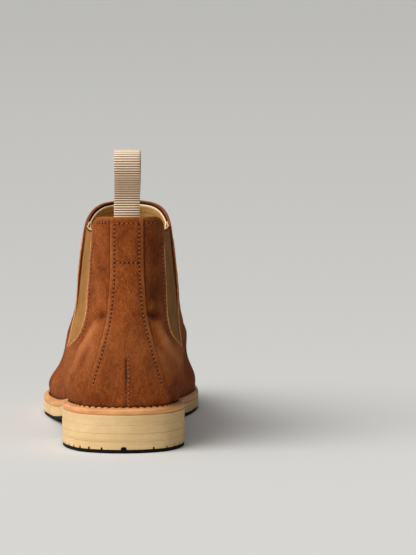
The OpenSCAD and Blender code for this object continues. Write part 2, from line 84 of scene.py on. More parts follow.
# Slices of the last: level; y, z at the back; y, z in front; half width outer, inner; x of the
# middle at the back, in front; where the two ends meet; roundness of back, front; share of the
# sole's outline; swell over the sole's edge at the back, in front
SLICES = [
    [0.00, 5.5, 28.8, 294.5, 28, 42, 42, 0, 5, 0.6, 2, 2, 1, -4.6, -3.6],
    [0.07, 3.4, 36.5, 297, 33.5, 42, 42, 0, 5, 0.6, 2, 2, 1, -1.2, -3.2],
    [0.16, 2.2, 47, 296.5, 41.5, 42, 42, 0, 5, 0.6, 2, 2, 1, 0.4, -9],
    [0.29, 2.8, 61.5, 283, 53.5, 45.2, 48, 1.5, 5, 0.58, 2.3, 2.1, 0.72, -0.6, -12.6],
    [0.42, 6.8, 77, 250, 64.5, 40.6, 41.6, 1.8, 4, 0.53, 2.3, 1.9, 0.36, -3, -15],
    [0.56, 11.5, 94, 207, 80.5, 36, 36.6, 2, 4, 0.5, 2.2, 1.9, 0.1, -6, -18],
    [0.70, 14.5, 111, 168, 105, 33.5, 33, 2.5, 4, 0.49, 2.2, 2, 0, -6, -20],
    [0.85, 15.5, 131, 140, 134, 31, 30.1, 3, 4, 0.48, 2.3, 2.1, 0, -6, -20],
    [1.00, 14.5, 152.5, 124, 156.4, 28.3, 27.4, 3.5, 4.5, 0.48, 2.4, 2.2, 0, -6, -20]]
# y, level of the topline
TOPLINE = [[14, 1], [20, 0.997], [25, 0.992], [28, 0.984], [30.3, 0.972], [31.8, 0.955],
           [32.8, 0.932], [60, 0.922], [79.5, 0.914], [82, 0.92], [90, 0.943],
           [100, 0.966], [112, 0.985], [124, 0.995]]
GORE_LOW = 0.325
# level, y of the gore's back edge, y of its front edge
GORE = [[0.325, 54, 54], [0.331, 47, 62], [0.342, 41.5, 66.5], [0.36, 36.3, 70],
        [0.385, 32.6, 72.5], [0.415, 30.9, 75], [0.45, 30.7, 77], [0.5, 32.3, 78.6],
        [0.54, 34.4, 79.5], [0.6, 36.6, 80.6], [0.67, 37.6, 81], [0.88, 33.7, 80],
        [1, 32.5, 80]]
# level, y of the side seam
SIDE_SEAM = [[-0.06, 97], [0, 96], [0.08, 89], [0.16, 79], [0.24, 66.5], [0.325, 54]]
# level, half width of the backstay
STRIP = [[-0.06, 30], [0, 29.5], [0.08, 27], [0.14, 24.8], [0.2, 22.8], [0.28, 20],
         [0.35, 17.6], [0.415, 15.4], [0.46, 13.9], [0.51, 12.8], [0.575, 11.8],
         [0.65, 11], [0.75, 10.4], [1, 10.3]]


def smooth(rows, x):
    """Reads the rows at x along a smooth curve through them; column 0 is x itself."""
    rows = np.array(rows, float)
    keys = rows[:, 0]
    x = np.clip(np.asarray(x, float), keys[0], keys[-1])
    i = np.clip(np.searchsorted(keys, x, side="right") - 1, 0, len(keys) - 2)
    last = len(keys) - 1
    j = np.arange(len(keys))
    before, after = rows[np.maximum(j - 1, 0)], rows[np.minimum(j + 1, last)]
    slope = (after - before) / (after[:, :1] - before[:, :1])
    h = (keys[i + 1] - keys[i])[..., None]
    t = ((x - keys[i])[..., None]) / h
    t2, t3 = t * t, t * t * t
    return ((2 * t3 - 3 * t2 + 1) * rows[i] + (t3 - 2 * t2 + t) * h * slope[i]
            + (3 * t2 - 2 * t3) * rows[i + 1] + (t3 - t2) * h * slope[i + 1])


LOOP = np.array([[r[1], r[0]] for r in OUTLINE] + [[r[2], r[0]] for r in OUTLINE[-2:0:-1]],
                float)


def outline(w):
    """Sole edge: w runs from the heel (0) along the outer side to the toe (1) and back (2)."""
    s = (np.asarray(w, float) % 2) * 12
    i = np.floor(s).astype(int)
    t = (s - i)[..., None]
    a, b, c, d = (LOOP[(i + k) % 24] for k in (-1, 0, 1, 2))
    return 0.5 * (2 * b + (c - a) * t + (2 * a - 5 * b + 4 * c - d) * t * t
                  + (3 * b - a - 3 * c + d) * t ** 3)


def feather(y):
    """Height of the line where the upper meets the welt."""
    r = smooth(RISE, y)
    return TREAD + MIDSOLE + WELT + HEEL_RISE * r[..., 1] + TOE_SPRING * r[..., 2]


def place(t, w):
    """The last: t is the level from the feather line to the topline."""
    t, w = np.broadcast_arrays(np.asarray(t, float), np.asarray(w, float))
    w = w % 2
    inner = w >= 1
    r = np.moveaxis(smooth(SLICES, np.maximum(t, 0)), -1, 0)
    o = outline(w)
    v = np.clip(o[..., 1] / 300, 0, 1)
    q = np.clip(np.where(v < r[9], v / r[9], (1 - v) / (1 - r[9])), 0, 1)
    n = np.where(v < r[9], r[10], r[11])
    e = np.where(inner, r[6], r[5]) * (1 - (1 - q) ** n) ** (1 / n)
    ell = r[7] + (r[8] - r[7]) * v + np.where(inner, e, -e)
    s = np.clip((o[..., 1] - 60) / 100, 0, 1)
    bulge = r[13] + (r[14] * np.where(inner, 0.86, 1.16) - r[13]) * s * s * (3 - 2 * s)
    foot = 5 * v + (o[..., 0] - 5 * v) * (1 + bulge / smooth(HALF, o[..., 1])[..., 1])
    x = ell + (foot - ell) * r[12]
    y = r[1] + (r[3] - r[1]) * v
    k = np.clip(1 - t / 0.45, 0, 1) ** 1.3
    high = feather(o[..., 1])
    z = r[2] + (r[4] - r[2]) * v + (high - (28.8 - 0.8 * v)) * k
    z = np.where(t <= 0, high + 80 * t, z)
    return np.stack([x, y, z], -1)


def outward(t, w):
    """The last's outward direction."""
    e = 0.004
    high = np.maximum(t, 0.02)
    n = np.cross(place(high + 0.01, w) - place(high - 0.01, w),
                 place(high, w + e) - place(high, w - e))
    n = np.where((np.asarray(t) <= 0.001)[..., None], n * [1, 1, 0], n)
    return n / np.linalg.norm(n, axis=-1, keepdims=True)


def skin(t, w, d):
    """Points d millimetres out from the last."""
    t, w, d = np.broadcast_arrays(*(np.asarray(a, float) for a in (t, w, d)))
    return place(t, w) + d[..., None] * outward(t, w)


ALL_U = np.linspace(0, 1, 1500)
ALL_Y = np.maximum.accumulate(outline(ALL_U)[:, 1])


def way_at(t, y):
    """Way round, on the outer side, at which level t is y from the heel."""
    r = smooth(SLICES, np.maximum(t, 0))
    v = np.clip((y - r[..., 1]) / (r[..., 3] - r[..., 1]), 0, 1)
    return np.interp(v * 300, ALL_Y, ALL_U)


NEAR = np.linspace(0.45, -0.45, 500)


def way_across(t, x):
    """Way round at which level t is x to the inner side of the backstay's centre line."""
    t, x = np.broadcast_arrays(np.asarray(t, float), np.asarray(x, float))
    out = np.empty(t.shape)
    levels, which = np.unique(np.round(t, 6), return_inverse=True)
    which = which.reshape(t.shape)
    for k, level in enumerate(levels):
        across = np.maximum.accumulate(place(level, NEAR)[:, 0])
        m = which == k
        out[m] = np.interp(x[m] + BACK, across, NEAR)
    return out


def top_level(w):
    return smooth(TOPLINE, place(1.0, w)[..., 1])[..., 1]


def settle(t, w, drop=0.0, lift=0.0):
    """Bends the upper levels to the cut of the topline, drop below it, raised at the front."""
    g = np.clip((t - 0.8) / 0.2, 0, 1)
    front = np.clip((place(1.0, w)[..., 1] - 80) / 30, 0, 1)
    return t + g * (top_level(w) - drop + lift * front - 1)


# Mesh making

def finish(name, bm, materials, body="boot"):
    """Turns the bmesh into a piece that rides on a body."""
    mesh = bpy.data.meshes.new(name)
    bm.to_mesh(mesh)
    bm.free()
    for m in materials if isinstance(materials, (list, tuple)) else [materials]:
        mesh.materials.append(m)
    mesh.polygons.foreach_set("use_smooth", [True] * len(mesh.polygons))
    piece = bpy.data.objects.new(name, mesh)
    bpy.context.scene.collection.objects.link(piece)
    if body:
        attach(piece, body)
    return piece


def to_frame(points):
    return (points + SHIFT) * 0.001


def soften(piece, width):
    bevel = piece.modifiers.new("cut edge", "BEVEL")
    bevel.width = width * 0.001
    bevel.segments = 2
    bevel.limit_method = "ANGLE"
    bevel.angle_limit = math.radians(38)
    bevel.harden_normals = False
    return piece


def leather(name, columns, rows, outer, inner, material, wear_and_painted_light=None):
    """A cut piece with thickness: a grid laid on the outer surface, doubled on to the inner one.

    With two materials, the second is the inner face's."""
    bm = bmesh.new()
    bmesh.ops.create_grid(bm, x_segments=columns, y_segments=rows, size=0.5)
    key = bm.verts.layers.int.new("key")
    flat = np.array([v.co[:2] for v in bm.verts]) + 0.5
    for i, v in enumerate(bm.verts):
        v[key] = i
    uv = bm.loops.layers.uv.new("UVMap")
    for face in bm.faces:
        for loop in face.loops:
            loop[uv].uv = flat[loop.vert.index]
    bmesh.ops.extrude_face_region(bm, geom=bm.faces[:], use_keep_orig=True)
    bm.verts.ensure_lookup_table()
    out = outer(flat[:, 0], flat[:, 1])
    into = inner(flat[:, 0], flat[:, 1])
    out, into = to_frame(out), to_frame(into)
    count = len(flat)
    # Values per point: paler edges, painted highlight and painted shade.
    wear_and_light = bm.verts.layers.float.new("wear_and_painted_light")
    shade = wear_and_painted_light(flat[:, 0], flat[:, 1]) if wear_and_painted_light else np.zeros(count)
    for i, v in enumerate(bm.verts):
        v.co = out[v[key]] if i < count else into[v[key]]
        v[wear_and_light] = shade[v[key]]
    bmesh.ops.recalc_face_normals(bm, faces=bm.faces[:])
    if bm.calc_volume(signed=True) < 0:
        bmesh.ops.reverse_faces(bm, faces=bm.faces[:])
    if isinstance(material, list):
        bm.verts.index_update()
        for face in bm.faces:
            face.material_index = int(min(v.index for v in face.verts) >= count)
    return finish(name, bm, material)


def ring(name, points, material):
    """A closed band: points holds each station's points, from the first to the last."""
    n, m = points.shape[:2]
    bm = bmesh.new()
    bmesh.ops.create_grid(bm, x_segments=n, y_segments=m - 1, size=0.5)
    flat = np.array([v.co[:2] for v in bm.verts]) + 0.5
    i = np.rint(flat[:, 0] * n).astype(int) % n
    j = np.rint(flat[:, 1] * (m - 1)).astype(int)
    placed = to_frame(points[i, j])
    for k, v in enumerate(bm.verts):
        v.co = placed[k]
    bmesh.ops.remove_doubles(bm, verts=bm.verts[:], dist=1e-6)
    bmesh.ops.dissolve_degenerate(bm, edges=bm.edges[:], dist=1e-7)
    bmesh.ops.recalc_face_normals(bm, faces=bm.faces[:])
    return finish(name, bm, material)


def settled(piece, node):
    """Hides the CAD node that the piece stands in for."""
    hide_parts(node)
    return piece


# Materials

def srgb(r, g, b):
    return tuple((c / 255 / 12.92) if c <= 10.3 else ((c / 255 + 0.055) / 1.055) ** 2.4
                 for c in (r, g, b)) + (1.0,)


class Finish:
    """A material being built up from object-space patterns."""

    def __init__(self, name, roughness=0.8, specular=0.3, sheen=0.0, sheen_tint=None,
                 sheen_roughness=0.5):
        self.material = bpy.data.materials.new(name)
        self.material.use_nodes = True
        self.nodes = self.material.node_tree.nodes
        self.links = self.material.node_tree.links
        self.shader = self.nodes["Principled BSDF"]
        self.shader.inputs["Roughness"].default_value = roughness
        self.shader.inputs["Specular IOR Level"].default_value = specular
        self.shader.inputs["Sheen Weight"].default_value = sheen
        self.shader.inputs["Sheen Roughness"].default_value = sheen_roughness
        if sheen_tint:
            self.shader.inputs["Sheen Tint"].default_value = sheen_tint
        self.place = self.nodes.new("ShaderNodeTexCoord").outputs["Object"]
        self.normal = None

    def stretch(self, scale=(1, 1, 1), turn=(0, 0, 0)):
        m = self.nodes.new("ShaderNodeMapping")
        m.inputs["Scale"].default_value = scale
        m.inputs["Rotation"].default_value = turn
        self.links.new(self.place, m.inputs["Vector"])
        return m.outputs["Vector"]

    def noise(self, scale, detail=3, rough=0.55, distort=0.0, at=None):
        n = self.nodes.new("ShaderNodeTexNoise")
        n.inputs["Scale"].default_value = scale
        n.inputs["Detail"].default_value = detail
        n.inputs["Roughness"].default_value = rough
        n.inputs["Distortion"].default_value = distort
        self.links.new(at or self.place, n.inputs["Vector"])
        return n.outputs["Fac"]

    def grains(self, scale):
        n = self.nodes.new("ShaderNodeTexVoronoi")
        n.inputs["Scale"].default_value = scale
        self.links.new(self.place, n.inputs["Vector"])
        return n.outputs["Distance"]

    def bands(self, scale, at, axis):
        n = self.nodes.new("ShaderNodeTexWave")
        n.wave_type = "BANDS"
        n.bands_direction = axis
        n.inputs["Scale"].default_value = scale
        self.links.new(at or self.place, n.inputs["Vector"])
        return n.outputs["Fac"]

    def attribute(self, name):
        n = self.nodes.new("ShaderNodeAttribute")
        n.attribute_name = name
        return n.outputs["Fac"]

    def uv(self):
        return self.nodes["Texture Coordinate"].outputs["UV"]

    def math(self, kind, a, b):
        n = self.nodes.new("ShaderNodeMath")
        n.operation = kind
        for socket, value in zip(n.inputs, (a, b)):
            if isinstance(value, (int, float)):
                socket.default_value = value
            else:
                self.links.new(value, socket)
        return n.outputs[0]

    def spread(self, value, low, high, to_low=0.0, to_high=1.0):
        n = self.nodes.new("ShaderNodeMapRange")
        n.inputs["From Min"].default_value = low
        n.inputs["From Max"].default_value = high
        n.inputs["To Min"].default_value = to_low
        n.inputs["To Max"].default_value = to_high
        self.links.new(value, n.inputs["Value"])
        return n.outputs["Result"]

    def ramp(self, value, stops):
        n = self.nodes.new("ShaderNodeValToRGB")
        e = n.color_ramp.elements
        while len(e) < len(stops):
            e.new(0.5)
        for k, (at, colour) in enumerate(stops):
            e[k].position = at
            e[k].color = colour
        self.links.new(value, n.inputs["Fac"])
        return n.outputs["Color"]

    def mix(self, a, b, share, kind="MIX"):
        n = self.nodes.new("ShaderNodeMix")
        n.data_type = "RGBA"
        n.blend_type = kind
        for socket, value in ((n.inputs[0], share), (n.inputs[6], a), (n.inputs[7], b)):
            if isinstance(value, (int, float, tuple)):
                socket.default_value = value
            else:
                self.links.new(value, socket)
        return n.outputs[2]

    def colour(self, value):
        if isinstance(value, tuple):
            self.shader.inputs["Base Color"].default_value = value
        else:
            self.links.new(value, self.shader.inputs["Base Color"])
        return self

    def bump(self, height, distance, strength=1.0):
        n = self.nodes.new("ShaderNodeBump")
        n.inputs["Distance"].default_value = distance
        n.inputs["Strength"].default_value = strength
        self.links.new(height, n.inputs["Height"])
        if self.normal:
            self.links.new(self.normal, n.inputs["Normal"])
        self.normal = n.outputs["Normal"]
        self.links.new(self.normal, self.shader.inputs["Normal"])
        return self


def make_suede():
    """Napped suede: wear_and_painted_light above 0 makes it paler, along edges and as painted
    highlight on fold ridges and over the ankle; below 0 darkens it, as painted shade in creases,
    beside the backstay's edge, along the welt and side seam, and on the inner side.
    """
    f = Finish("suede", 0.95, 0.08, 0.05, (1.0, 0.7, 0.48, 1), 0.4)
    nap = f.stretch((1, 1, 0.7), (0.3, 0.2, 0.4))
    patch = f.noise(85, 4, 0.62, 0.8, nap)
    swirl = f.noise(520, 5, 0.7, 1.2, nap)
    grain = f.noise(1150, 4, 0.7, 0.6, nap)
    both = f.math("ADD", f.math("MULTIPLY", patch, 0.45), f.math("MULTIPLY", swirl, 0.55))
    base = f.ramp(both, [(0.34, srgb(104, 46, 16)), (0.45, srgb(134, 64, 25)),
                         (0.54, srgb(151, 77, 33)), (0.68, srgb(180, 101, 49))])
    fleck = f.mix(base, srgb(66, 26, 8), f.spread(grain, 0.5, 0.3, 0, 0.5))
    light = f.mix(fleck, srgb(212, 134, 74), f.spread(grain, 0.56, 0.72, 0, 0.4))
    # Painted highlight: positive values lighten the suede on fold ridges and over the ankle, and
    # along paler edges.
    wear_and_light = f.mix(light, srgb(218, 144, 88), f.spread(f.attribute("wear_and_painted_light"), 0, 1, 0, 0.6))
    # Painted shade: negative values darken the suede towards near-black in creases, beside the
    # backstay, along the welt and side seam, and on the inner side.
    f.colour(f.mix(wear_and_light, srgb(40, 15, 5), f.spread(f.attribute("wear_and_painted_light"), 0, -1, 0, 0.9)))
    f.bump(swirl, 0.0007, 0.7)
    f.bump(grain, 0.0007, 1.0)
    return f.material


def make_edge():
    f = Finish("suede_edge", 0.85, 0.2)
    f.colour(f.ramp(f.noise(600, 3), [(0.35, srgb(186, 122, 72)), (0.65, srgb(224, 164, 108))]))
    f.bump(f.noise(1500, 2), 0.0002, 0.5)
    return f.material


def make_lining():
    """Smooth lining leather, paler along its turned edge."""
    f = Finish("lining_leather", 0.55, 0.35)
    big = f.noise(40, 3, 0.5)
    pore = f.grains(1400)
    skin_tone = f.ramp(big, [(0.3, srgb(196, 146, 78)), (0.7, srgb(222, 176, 106))])
    f.colour(f.mix(skin_tone, srgb(250, 222, 168), f.spread(f.attribute("wear_and_painted_light"), 0, 1)))
    f.bump(pore, 0.00008, 0.5)
    f.bump(f.noise(150, 3), 0.0004, 0.3)
    return f.material


def make_elastic():
    """Ribbed elastic: wear_and_painted_light above 0 is the pale hem; below 0 is painted shade, just
    under the hem and over the whole inner gore.
    """
    f = Finish("gore_elastic", 0.8, 0.12)
    ribs = f.bands(210, f.uv(), "X")
    cords = f.bands(900, f.uv(), "Y")
    weave = f.math("MULTIPLY", ribs, cords)
    tone = f.noise(60, 3)
    yarn = f.ramp(tone, [(0.3, srgb(178, 120, 60)), (0.7, srgb(204, 148, 82))])
    knit = f.mix(yarn, srgb(108, 64, 30), f.spread(weave, 0.35, 0.0, 0, 0.5))
    hem = f.mix(knit, srgb(232, 190, 140), f.spread(f.attribute("wear_and_painted_light"), 0.3, 1))
    # Painted shade: darker just under the hem and over the inner gore.
    f.colour(f.mix(hem, srgb(60, 30, 14), f.spread(f.attribute("wear_and_painted_light"), -0.2, -0.8)))
    f.bump(weave, 0.00025, 0.6)
    return f.material


def make_webbing():
    """Ribbed webbing: wear_and_painted_light carries the ribs, whose valleys get painted shade, and
    painted shade darkens the middle of the loop where it curves away from the light.
    """
    f = Finish("ribbed_webbing", 0.85, 0.2, 0.25, (1, 0.95, 0.88, 1))
    rib = f.attribute("wear_and_painted_light")
    thread = f.noise(1600, 3, 0.6, 0.3, f.stretch((0.35, 1, 1)))
    tone = f.ramp(thread, [(0.3, srgb(242, 208, 170)), (0.7, srgb(255, 238, 210))])
    # Painted shade: the rib valleys are coloured dark brown.
    ribbed = f.mix(srgb(96, 54, 26), tone, f.spread(rib, -0.72, 0.45))
    height = f.nodes.new("ShaderNodeSeparateXYZ")
    f.links.new(f.place, height.inputs[0])
    z = height.outputs[2]
    # Painted shade: a darker band round the middle of the loop.
    painted_loop_shade = f.math("MULTIPLY", f.spread(z, 0.160, 0.170), f.spread(z, 0.184, 0.176))
    f.colour(f.mix(ribbed, srgb(128, 92, 60), f.math("MULTIPLY", painted_loop_shade, 0.5)))
    f.bump(thread, 0.0003, 0.8)
    return f.material


def make_welt():
    f = Finish("welt_leather", 0.5, 0.4)
    streak = f.noise(260, 3, 0.5, 0.2, f.stretch((0.3, 0.3, 2.2)))
    f.colour(f.ramp(streak, [(0.3, srgb(206, 138, 80)), (0.55, srgb(225, 160, 102)),
                             (0.75, srgb(238, 182, 124))]))
    f.bump(f.noise(1300, 3), 0.00012, 0.5)
    f.bump(streak, 0.0002, 0.4)
    return f.material


def make_cream():
    f = Finish("cream_rubber", 0.8, 0.15)
    soft = f.noise(50, 3, 0.5)
    speck = f.noise(1500, 2, 0.5)
    base = f.ramp(soft, [(0.3, srgb(219, 184, 131)), (0.7, srgb(232, 200, 150))])
    streak = f.noise(70, 3, 0.55, 0.0, f.stretch((0.25, 0.25, 7)))
    streaked = f.mix(base, srgb(206, 164, 108), f.spread(streak, 0.52, 0.7, 0, 0.5))
    f.colour(f.mix(streaked, srgb(190, 146, 92), f.spread(speck, 0.46, 0.25, 0, 0.45)))
    f.bump(speck, 0.00025, 0.6)
    f.bump(f.noise(120, 3), 0.0003, 0.25)
    return f.material


def make_black():
    f = Finish("black_rubber", 0.75, 0.15)
    f.colour(f.ramp(f.noise(300, 3), [(0.3, srgb(9, 6, 4)), (0.7, srgb(19, 14, 11))]))
    f.bump(f.noise(1200, 3), 0.00015, 0.5)
    return f.material


def make_thread(name, dark, light):
    f = Finish(name, 0.6, 0.35)
    f.colour(f.ramp(f.noise(1500, 2), [(0.35, dark), (0.65, light)]))
    f.bump(f.bands(2200, None, "DIAGONAL"), 0.00008, 0.6)
    return f.material


def make_plain(name, dark, light, roughness, scale, grain=0.0002, specular=0.3):
    f = Finish(name, roughness, specular)
    f.colour(f.ramp(f.noise(scale, 4, 0.6), [(0.35, dark), (0.65, light)]))
    f.bump(f.noise(scale * 4, 3), grain, 0.5)
    return f.material


suede = make_suede()
# Painted shade: the inner face of the vamp is near-black, so that it shows as a shadowed line above
# the lining.
flesh_side_painted_shade = make_plain("flesh_side_painted_shade", srgb(46, 21, 10), srgb(78, 38, 18), 0.95, 400)
suede_edge = make_edge()
lining_leather = make_lining()
elastic = make_elastic()
webbing = make_webbing()
welt_leather = make_welt()
cream = make_cream()
black = make_black()
brown_thread = make_thread("brown_thread", srgb(118, 58, 27), srgb(184, 112, 62))
# Painted shade: the needle holes are near-black dents standing in for the shadow inside each hole.
dark_hole = make_plain("needle_hole", srgb(18, 7, 3), srgb(30, 13, 6), 0.95, 500)
dark_thread = make_thread("dark_thread", srgb(52, 24, 11), srgb(84, 42, 20))
lining_thread = make_thread("lining_thread", srgb(190, 132, 70), srgb(226, 176, 108))
pale_thread = make_thread("welt_thread", srgb(206, 148, 92), srgb(232, 186, 132))

# Folds of the suede behind the ankle: x, z at the start; x, z at the end; width; height
FOLDS = [
    (-16.5, 87.2, -12.5, 88.8, 2.5, -2.1), (16.6, 89.4, 24.0, 86.0, 2.4, -1.7),
    (-14.5, 118.0, -12.5, 116.0, 3.0, -1.4), (-18.6, 103.5, -18.0, 101.0, 2.2, -0.55),
    (19.5, 106.0, 20.5, 97.5, 4.2, -1.0), (18.4, 95.2, 19.2, 92.6, 2.4, 0.8),
    (-16.5, 109.0, -15.5, 96.5, 2.2, 0.6), (-20.5, 127.0, -19.0, 119.0, 2.6, 0.4),
    (-17.5, 82.5, -27.0, 66.5, 2.4, 1.5), (-27.0, 66.5, -33.0, 51.5, 2.2, 1.3),
    (-22.0, 84.0, -30.5, 66.0, 2.0, -0.9), (-23.5, 66.0, -28.5, 55.0, 1.7, -0.8),
    (-30.5, 61.0, -36.0, 49.0, 1.4, -0.4), (-19.5, 70.0, -24.5, 58.0, 2.0, 0.45),
    (22.0, 82.5, 28.0, 70.0, 2.4, 1.4), (28.0, 70.0, 36.5, 57.0, 2.8, 1.3),
    (27.0, 82.0, 33.5, 68.0, 2.2, -0.6), (19.0, 78.0, 25.0, 66.0, 2.2, -0.5),
    (24.0, 62.0, 31.0, 48.0, 2.6, 0.45), (-35.5, 61.0, -34.5, 58.0, 1.3, -0.5),
    (-35.0, 51.5, -36.5, 41.0, 1.5, 0.7), (-32.4, 50.0, -33.8, 43.0, 1.4, -0.5),
    (19.0, 135.0, 22.5, 124.0, 2.6, -0.5), (15.5, 128.0, 15.5, 114.0, 1.8, 0.4),
]


def fold_depth(p):
    """How far the folds lift each point of the back of the upper."""
    total = np.zeros(len(p))
    for x0, z0, x1, z1, width, height in FOLDS:
        dx, dz = x1 - x0, z1 - z0
        t = np.clip(((p[:, 0] - x0) * dx + (p[:, 2] - z0) * dz) / (dx * dx + dz * dz), 0, 1)
        far = (p[:, 0] - x0 - t * dx) ** 2 + (p[:, 2] - z0 - t * dz) ** 2
        ends = 1 - 0.35 * (2 * t - 1) ** 2
        total += height * ends * np.exp(-far / width ** 2)
    return total * np.clip((75 - p[:, 1]) / 20, 0, 1)


def ripple(p, size, height, seed):
    """Slow unevenness of a hide, from smooth noise."""
    return np.array([noise.noise(Vector(q) / size + Vector((seed, 0, 0))) for q in p]) * height


def suede_relief(t, w):
    """Folds and ripples of the suede, fading out at the welt."""
    p = place(t, w)
    fade = np.clip(t / 0.06, 0, 1)
    return fade * (fold_depth(p) + ripple(p, 17, 0.35, 3.1) + ripple(p, 6, 0.12, 7.7))


def groove(distance, width, depth):
    """The dent that a sewn row or a seam pulls into the suede."""
    return -depth * np.exp(-(distance / width) ** 2)


# Upper

LEVELS = np.interp(np.linspace(0, 1, 400),
                   [0, 0.05, 0.3, 0.38, 0.48, 0.92, 1],
                   [-0.05, 0.0, 0.318, 0.342, 0.43, 0.93, 1.0])


def level_of(f):
    """Level of a panel's row: rows are crowded at the welt, the gore's foot and the topline."""
    return np.interp(f, np.linspace(0, 1, 400), LEVELS)


def seam_y(t, column):
    """y of the edge where quarter (column 1) and vamp (column 2) meet the gore or each other."""
    return np.where(t < GORE_LOW, smooth(SIDE_SEAM, t)[..., 1], smooth(GORE, t)[..., column])


def crowd(s, amount=0.6):
    """Crowds columns towards both ends."""
    return s + amount * (0.5 - 0.5 * np.cos(np.pi * s) - s)


def vamp_place(s, f):
    t = level_of(f)
    end = way_at(t, seam_y(t, 2)) + 0.0006
    w = end + crowd(s, 0.5) * (2 - 2 * end)
    return settle(t, w), w, t


def vamp_outer(s, f):
    t, w, raw = vamp_place(s, f)
    p = place(t, w)
    near = np.abs(p[:, 1] - seam_y(raw, 2))
    fade = np.clip(raw / 0.06, 0, 1)
    d = fade * (ripple(p, 30, 0.5, 1.7) + ripple(p, 8, 0.12, 5.2)) + groove(near - 2.5, 0.8, 0.3)
    return skin(t, w, d)


def vamp_inner(s, f):
    t, w, raw = vamp_place(s, f)
    return skin(t, w, -SUEDE)


def painted_welt_shade(raw):
    """Painted shade: the suede is darkened where it turns in to the welt, for the shadow along it."""
    return 0.9 * np.clip(1 - raw / 0.022, 0, 1)


def vamp_wear_and_painted_light(s, f):
    t, w, raw = vamp_place(s, f)
    p = place(t, w)
    near = np.abs(p[:, 1] - seam_y(raw, 2))
    # Painted shade: a dark line along the side seam.
    seam = -0.9 * np.exp(-near / 1.3) * (raw < GORE_LOW)
    # Paler at the topline; painted shade along the welt.
    return seam + 0.1 * np.clip((f - 0.975) / 0.025, 0, 1) - painted_welt_shade(raw)


vamp = leather("vamp_suede", 250, 96, vamp_outer, vamp_inner, [suede, flesh_side_painted_shade], vamp_wear_and_painted_light)
settled(soften(vamp, 0.4), "vamp")


def beside_strip(p, raw):
    """Distance from the backstay's edge."""
    return np.abs(p[:, 0] - BACK) - smooth(STRIP, raw)[..., 1]


def painted_inner_side_shade(p, raw):
    """Painted shade on the inner side of the heel and shaft, less the painted highlight over the
    ankle.
    """
    high = 0.3 * np.clip((p[:, 0] - 12) / 8, 0, 1) * np.clip((raw - 0.4) / 0.12, 0, 1)
    low = 0.35 * np.clip((p[:, 0] - 24) / 9, 0, 1) * np.clip((0.2 - raw) / 0.1, 0, 1)
    return 1.15 * high + low - painted_ankle_highlight(p)


def painted_ankle_highlight(p):
    """Painted highlight: the suede is made lighter over the swell of the ankle and heel."""
    return 0.2 * np.exp(-((p[:, 2] - 66) / 20) ** 2)


def quarter(side, name):
    """One back quarter: side is -1 on the outer side of the foot and 1 on the inner side."""
    def lay(s, f):
        t = level_of(f)
        front = way_at(t, seam_y(t, 1)) - 0.0006
        start = way_across(t, side * 0.2)
        w = start + crowd(s, 0.55) * (-side * front - start)
        return settle(t, w), w, t

    def outer(s, f):
        t, w, raw = lay(s, f)
        p = place(t, w)
        near = np.abs(p[:, 1] - seam_y(raw, 1))
        edge = groove(near - PANEL_ROW, 0.7, 0.35) * (raw > 0.02)
        top = groove((raw - TOP_ROW) * 140, 0.8, 0.3) * (raw > 0.9)
        roll = -0.4 * np.clip((raw - 0.992) / 0.008, 0, 1) ** 2
        lip = -0.7 * np.exp(-near) * np.clip((0.6 - raw) / 0.1, 0, 1) * (raw > GORE_LOW)
        lip += 0.55 * np.clip(1.8 - near, 0, 1) * (raw < GORE_LOW) * np.clip(raw / 0.03, 0, 1)
        crease = groove(beside_strip(p, raw) - 0.5, 0.7, 0.55)
        return skin(t, w, suede_relief(t, w) + edge + top + roll + lip + crease)

    def inner(s, f):
        t, w, raw = lay(s, f)
        return skin(t, w, -SUEDE + 0.6 * np.minimum(suede_relief(t, w), 0))

    def wear_and_painted_light(s, f):
        t, w, raw = lay(s, f)
        p = place(t, w)
        near = np.abs(p[:, 1] - seam_y(raw, 1))
        # Painted shadow that the backstay's raised edge casts on the quarter beside it.
        dark = np.exp(-((beside_strip(p, raw) - 0.3) / 0.75) ** 2)
        # Paler at the gore's edge and the topline; painted highlight on fold ridges and painted shade
        # in fold dimples; painted shade beside the backstay, on the inner side and along the welt.
        return (0.8 * np.exp(-near / 0.8) + 0.45 * np.clip((f - 0.975) / 0.025, 0, 1)
                + np.clip(fold_depth(p) * 0.35, -0.7, 0.5)
                - (1.0 if side > 0 else 0.35) * dark * np.clip((raw - 0.3) / 0.12, 0, 1)
                - painted_inner_side_shade(p, raw) - painted_welt_shade(raw))

    piece = leather(name + "_suede", 100, 110, outer, inner, suede, wear_and_painted_light)
    settled(soften(piece, 0.4), name)


quarter(-1, "quarter_lateral")
quarter(1, "quarter_medial")


def strip_lay(s, f):
    half = smooth(STRIP, f)[..., 1]
    x = (2 * s - 1) * half
    w = way_across(f, x)
    return settle(f, w), w, f, x, half


def strip_rise(t):
    """How far the backstay stands above the quarters."""
    return np.interp(t, [0, 0.1, 0.2, 0.34, 0.5, 1], [0.2, 0.25, 0.5, 1.05, 1.4, 1.4])


def strip_outer(s, f):
    t, w, raw, x, half = strip_lay(s, f)
    row = half - STRIP_ROW - np.abs(x)
    d = strip_rise(raw) + suede_relief(t, w)
    d += groove(row, 0.8, 0.4) * np.clip((raw - 0.1) / 0.05, 0, 1)
    d += groove(x - HEEL_SEAM, 0.45, 0.7) * np.clip((0.305 - raw) / 0.03, 0, 1)
    d += 0.25 * np.exp(-((x - 0.9) / 1.0) ** 2) * np.clip((0.3 - raw) / 0.04, 0, 1)
    d += groove((raw - HOLD_ROW) * 150, 0.9, 0.35) * (np.abs(x) < 7.5)
    d += groove((raw - TOP_ROW) * 140, 0.8, 0.3) * (raw > 0.9)
    edge = np.clip(1 - (half - np.abs(x)) / 0.9, 0, 1)
    return skin(t, w, d - 0.25 * edge ** 2)


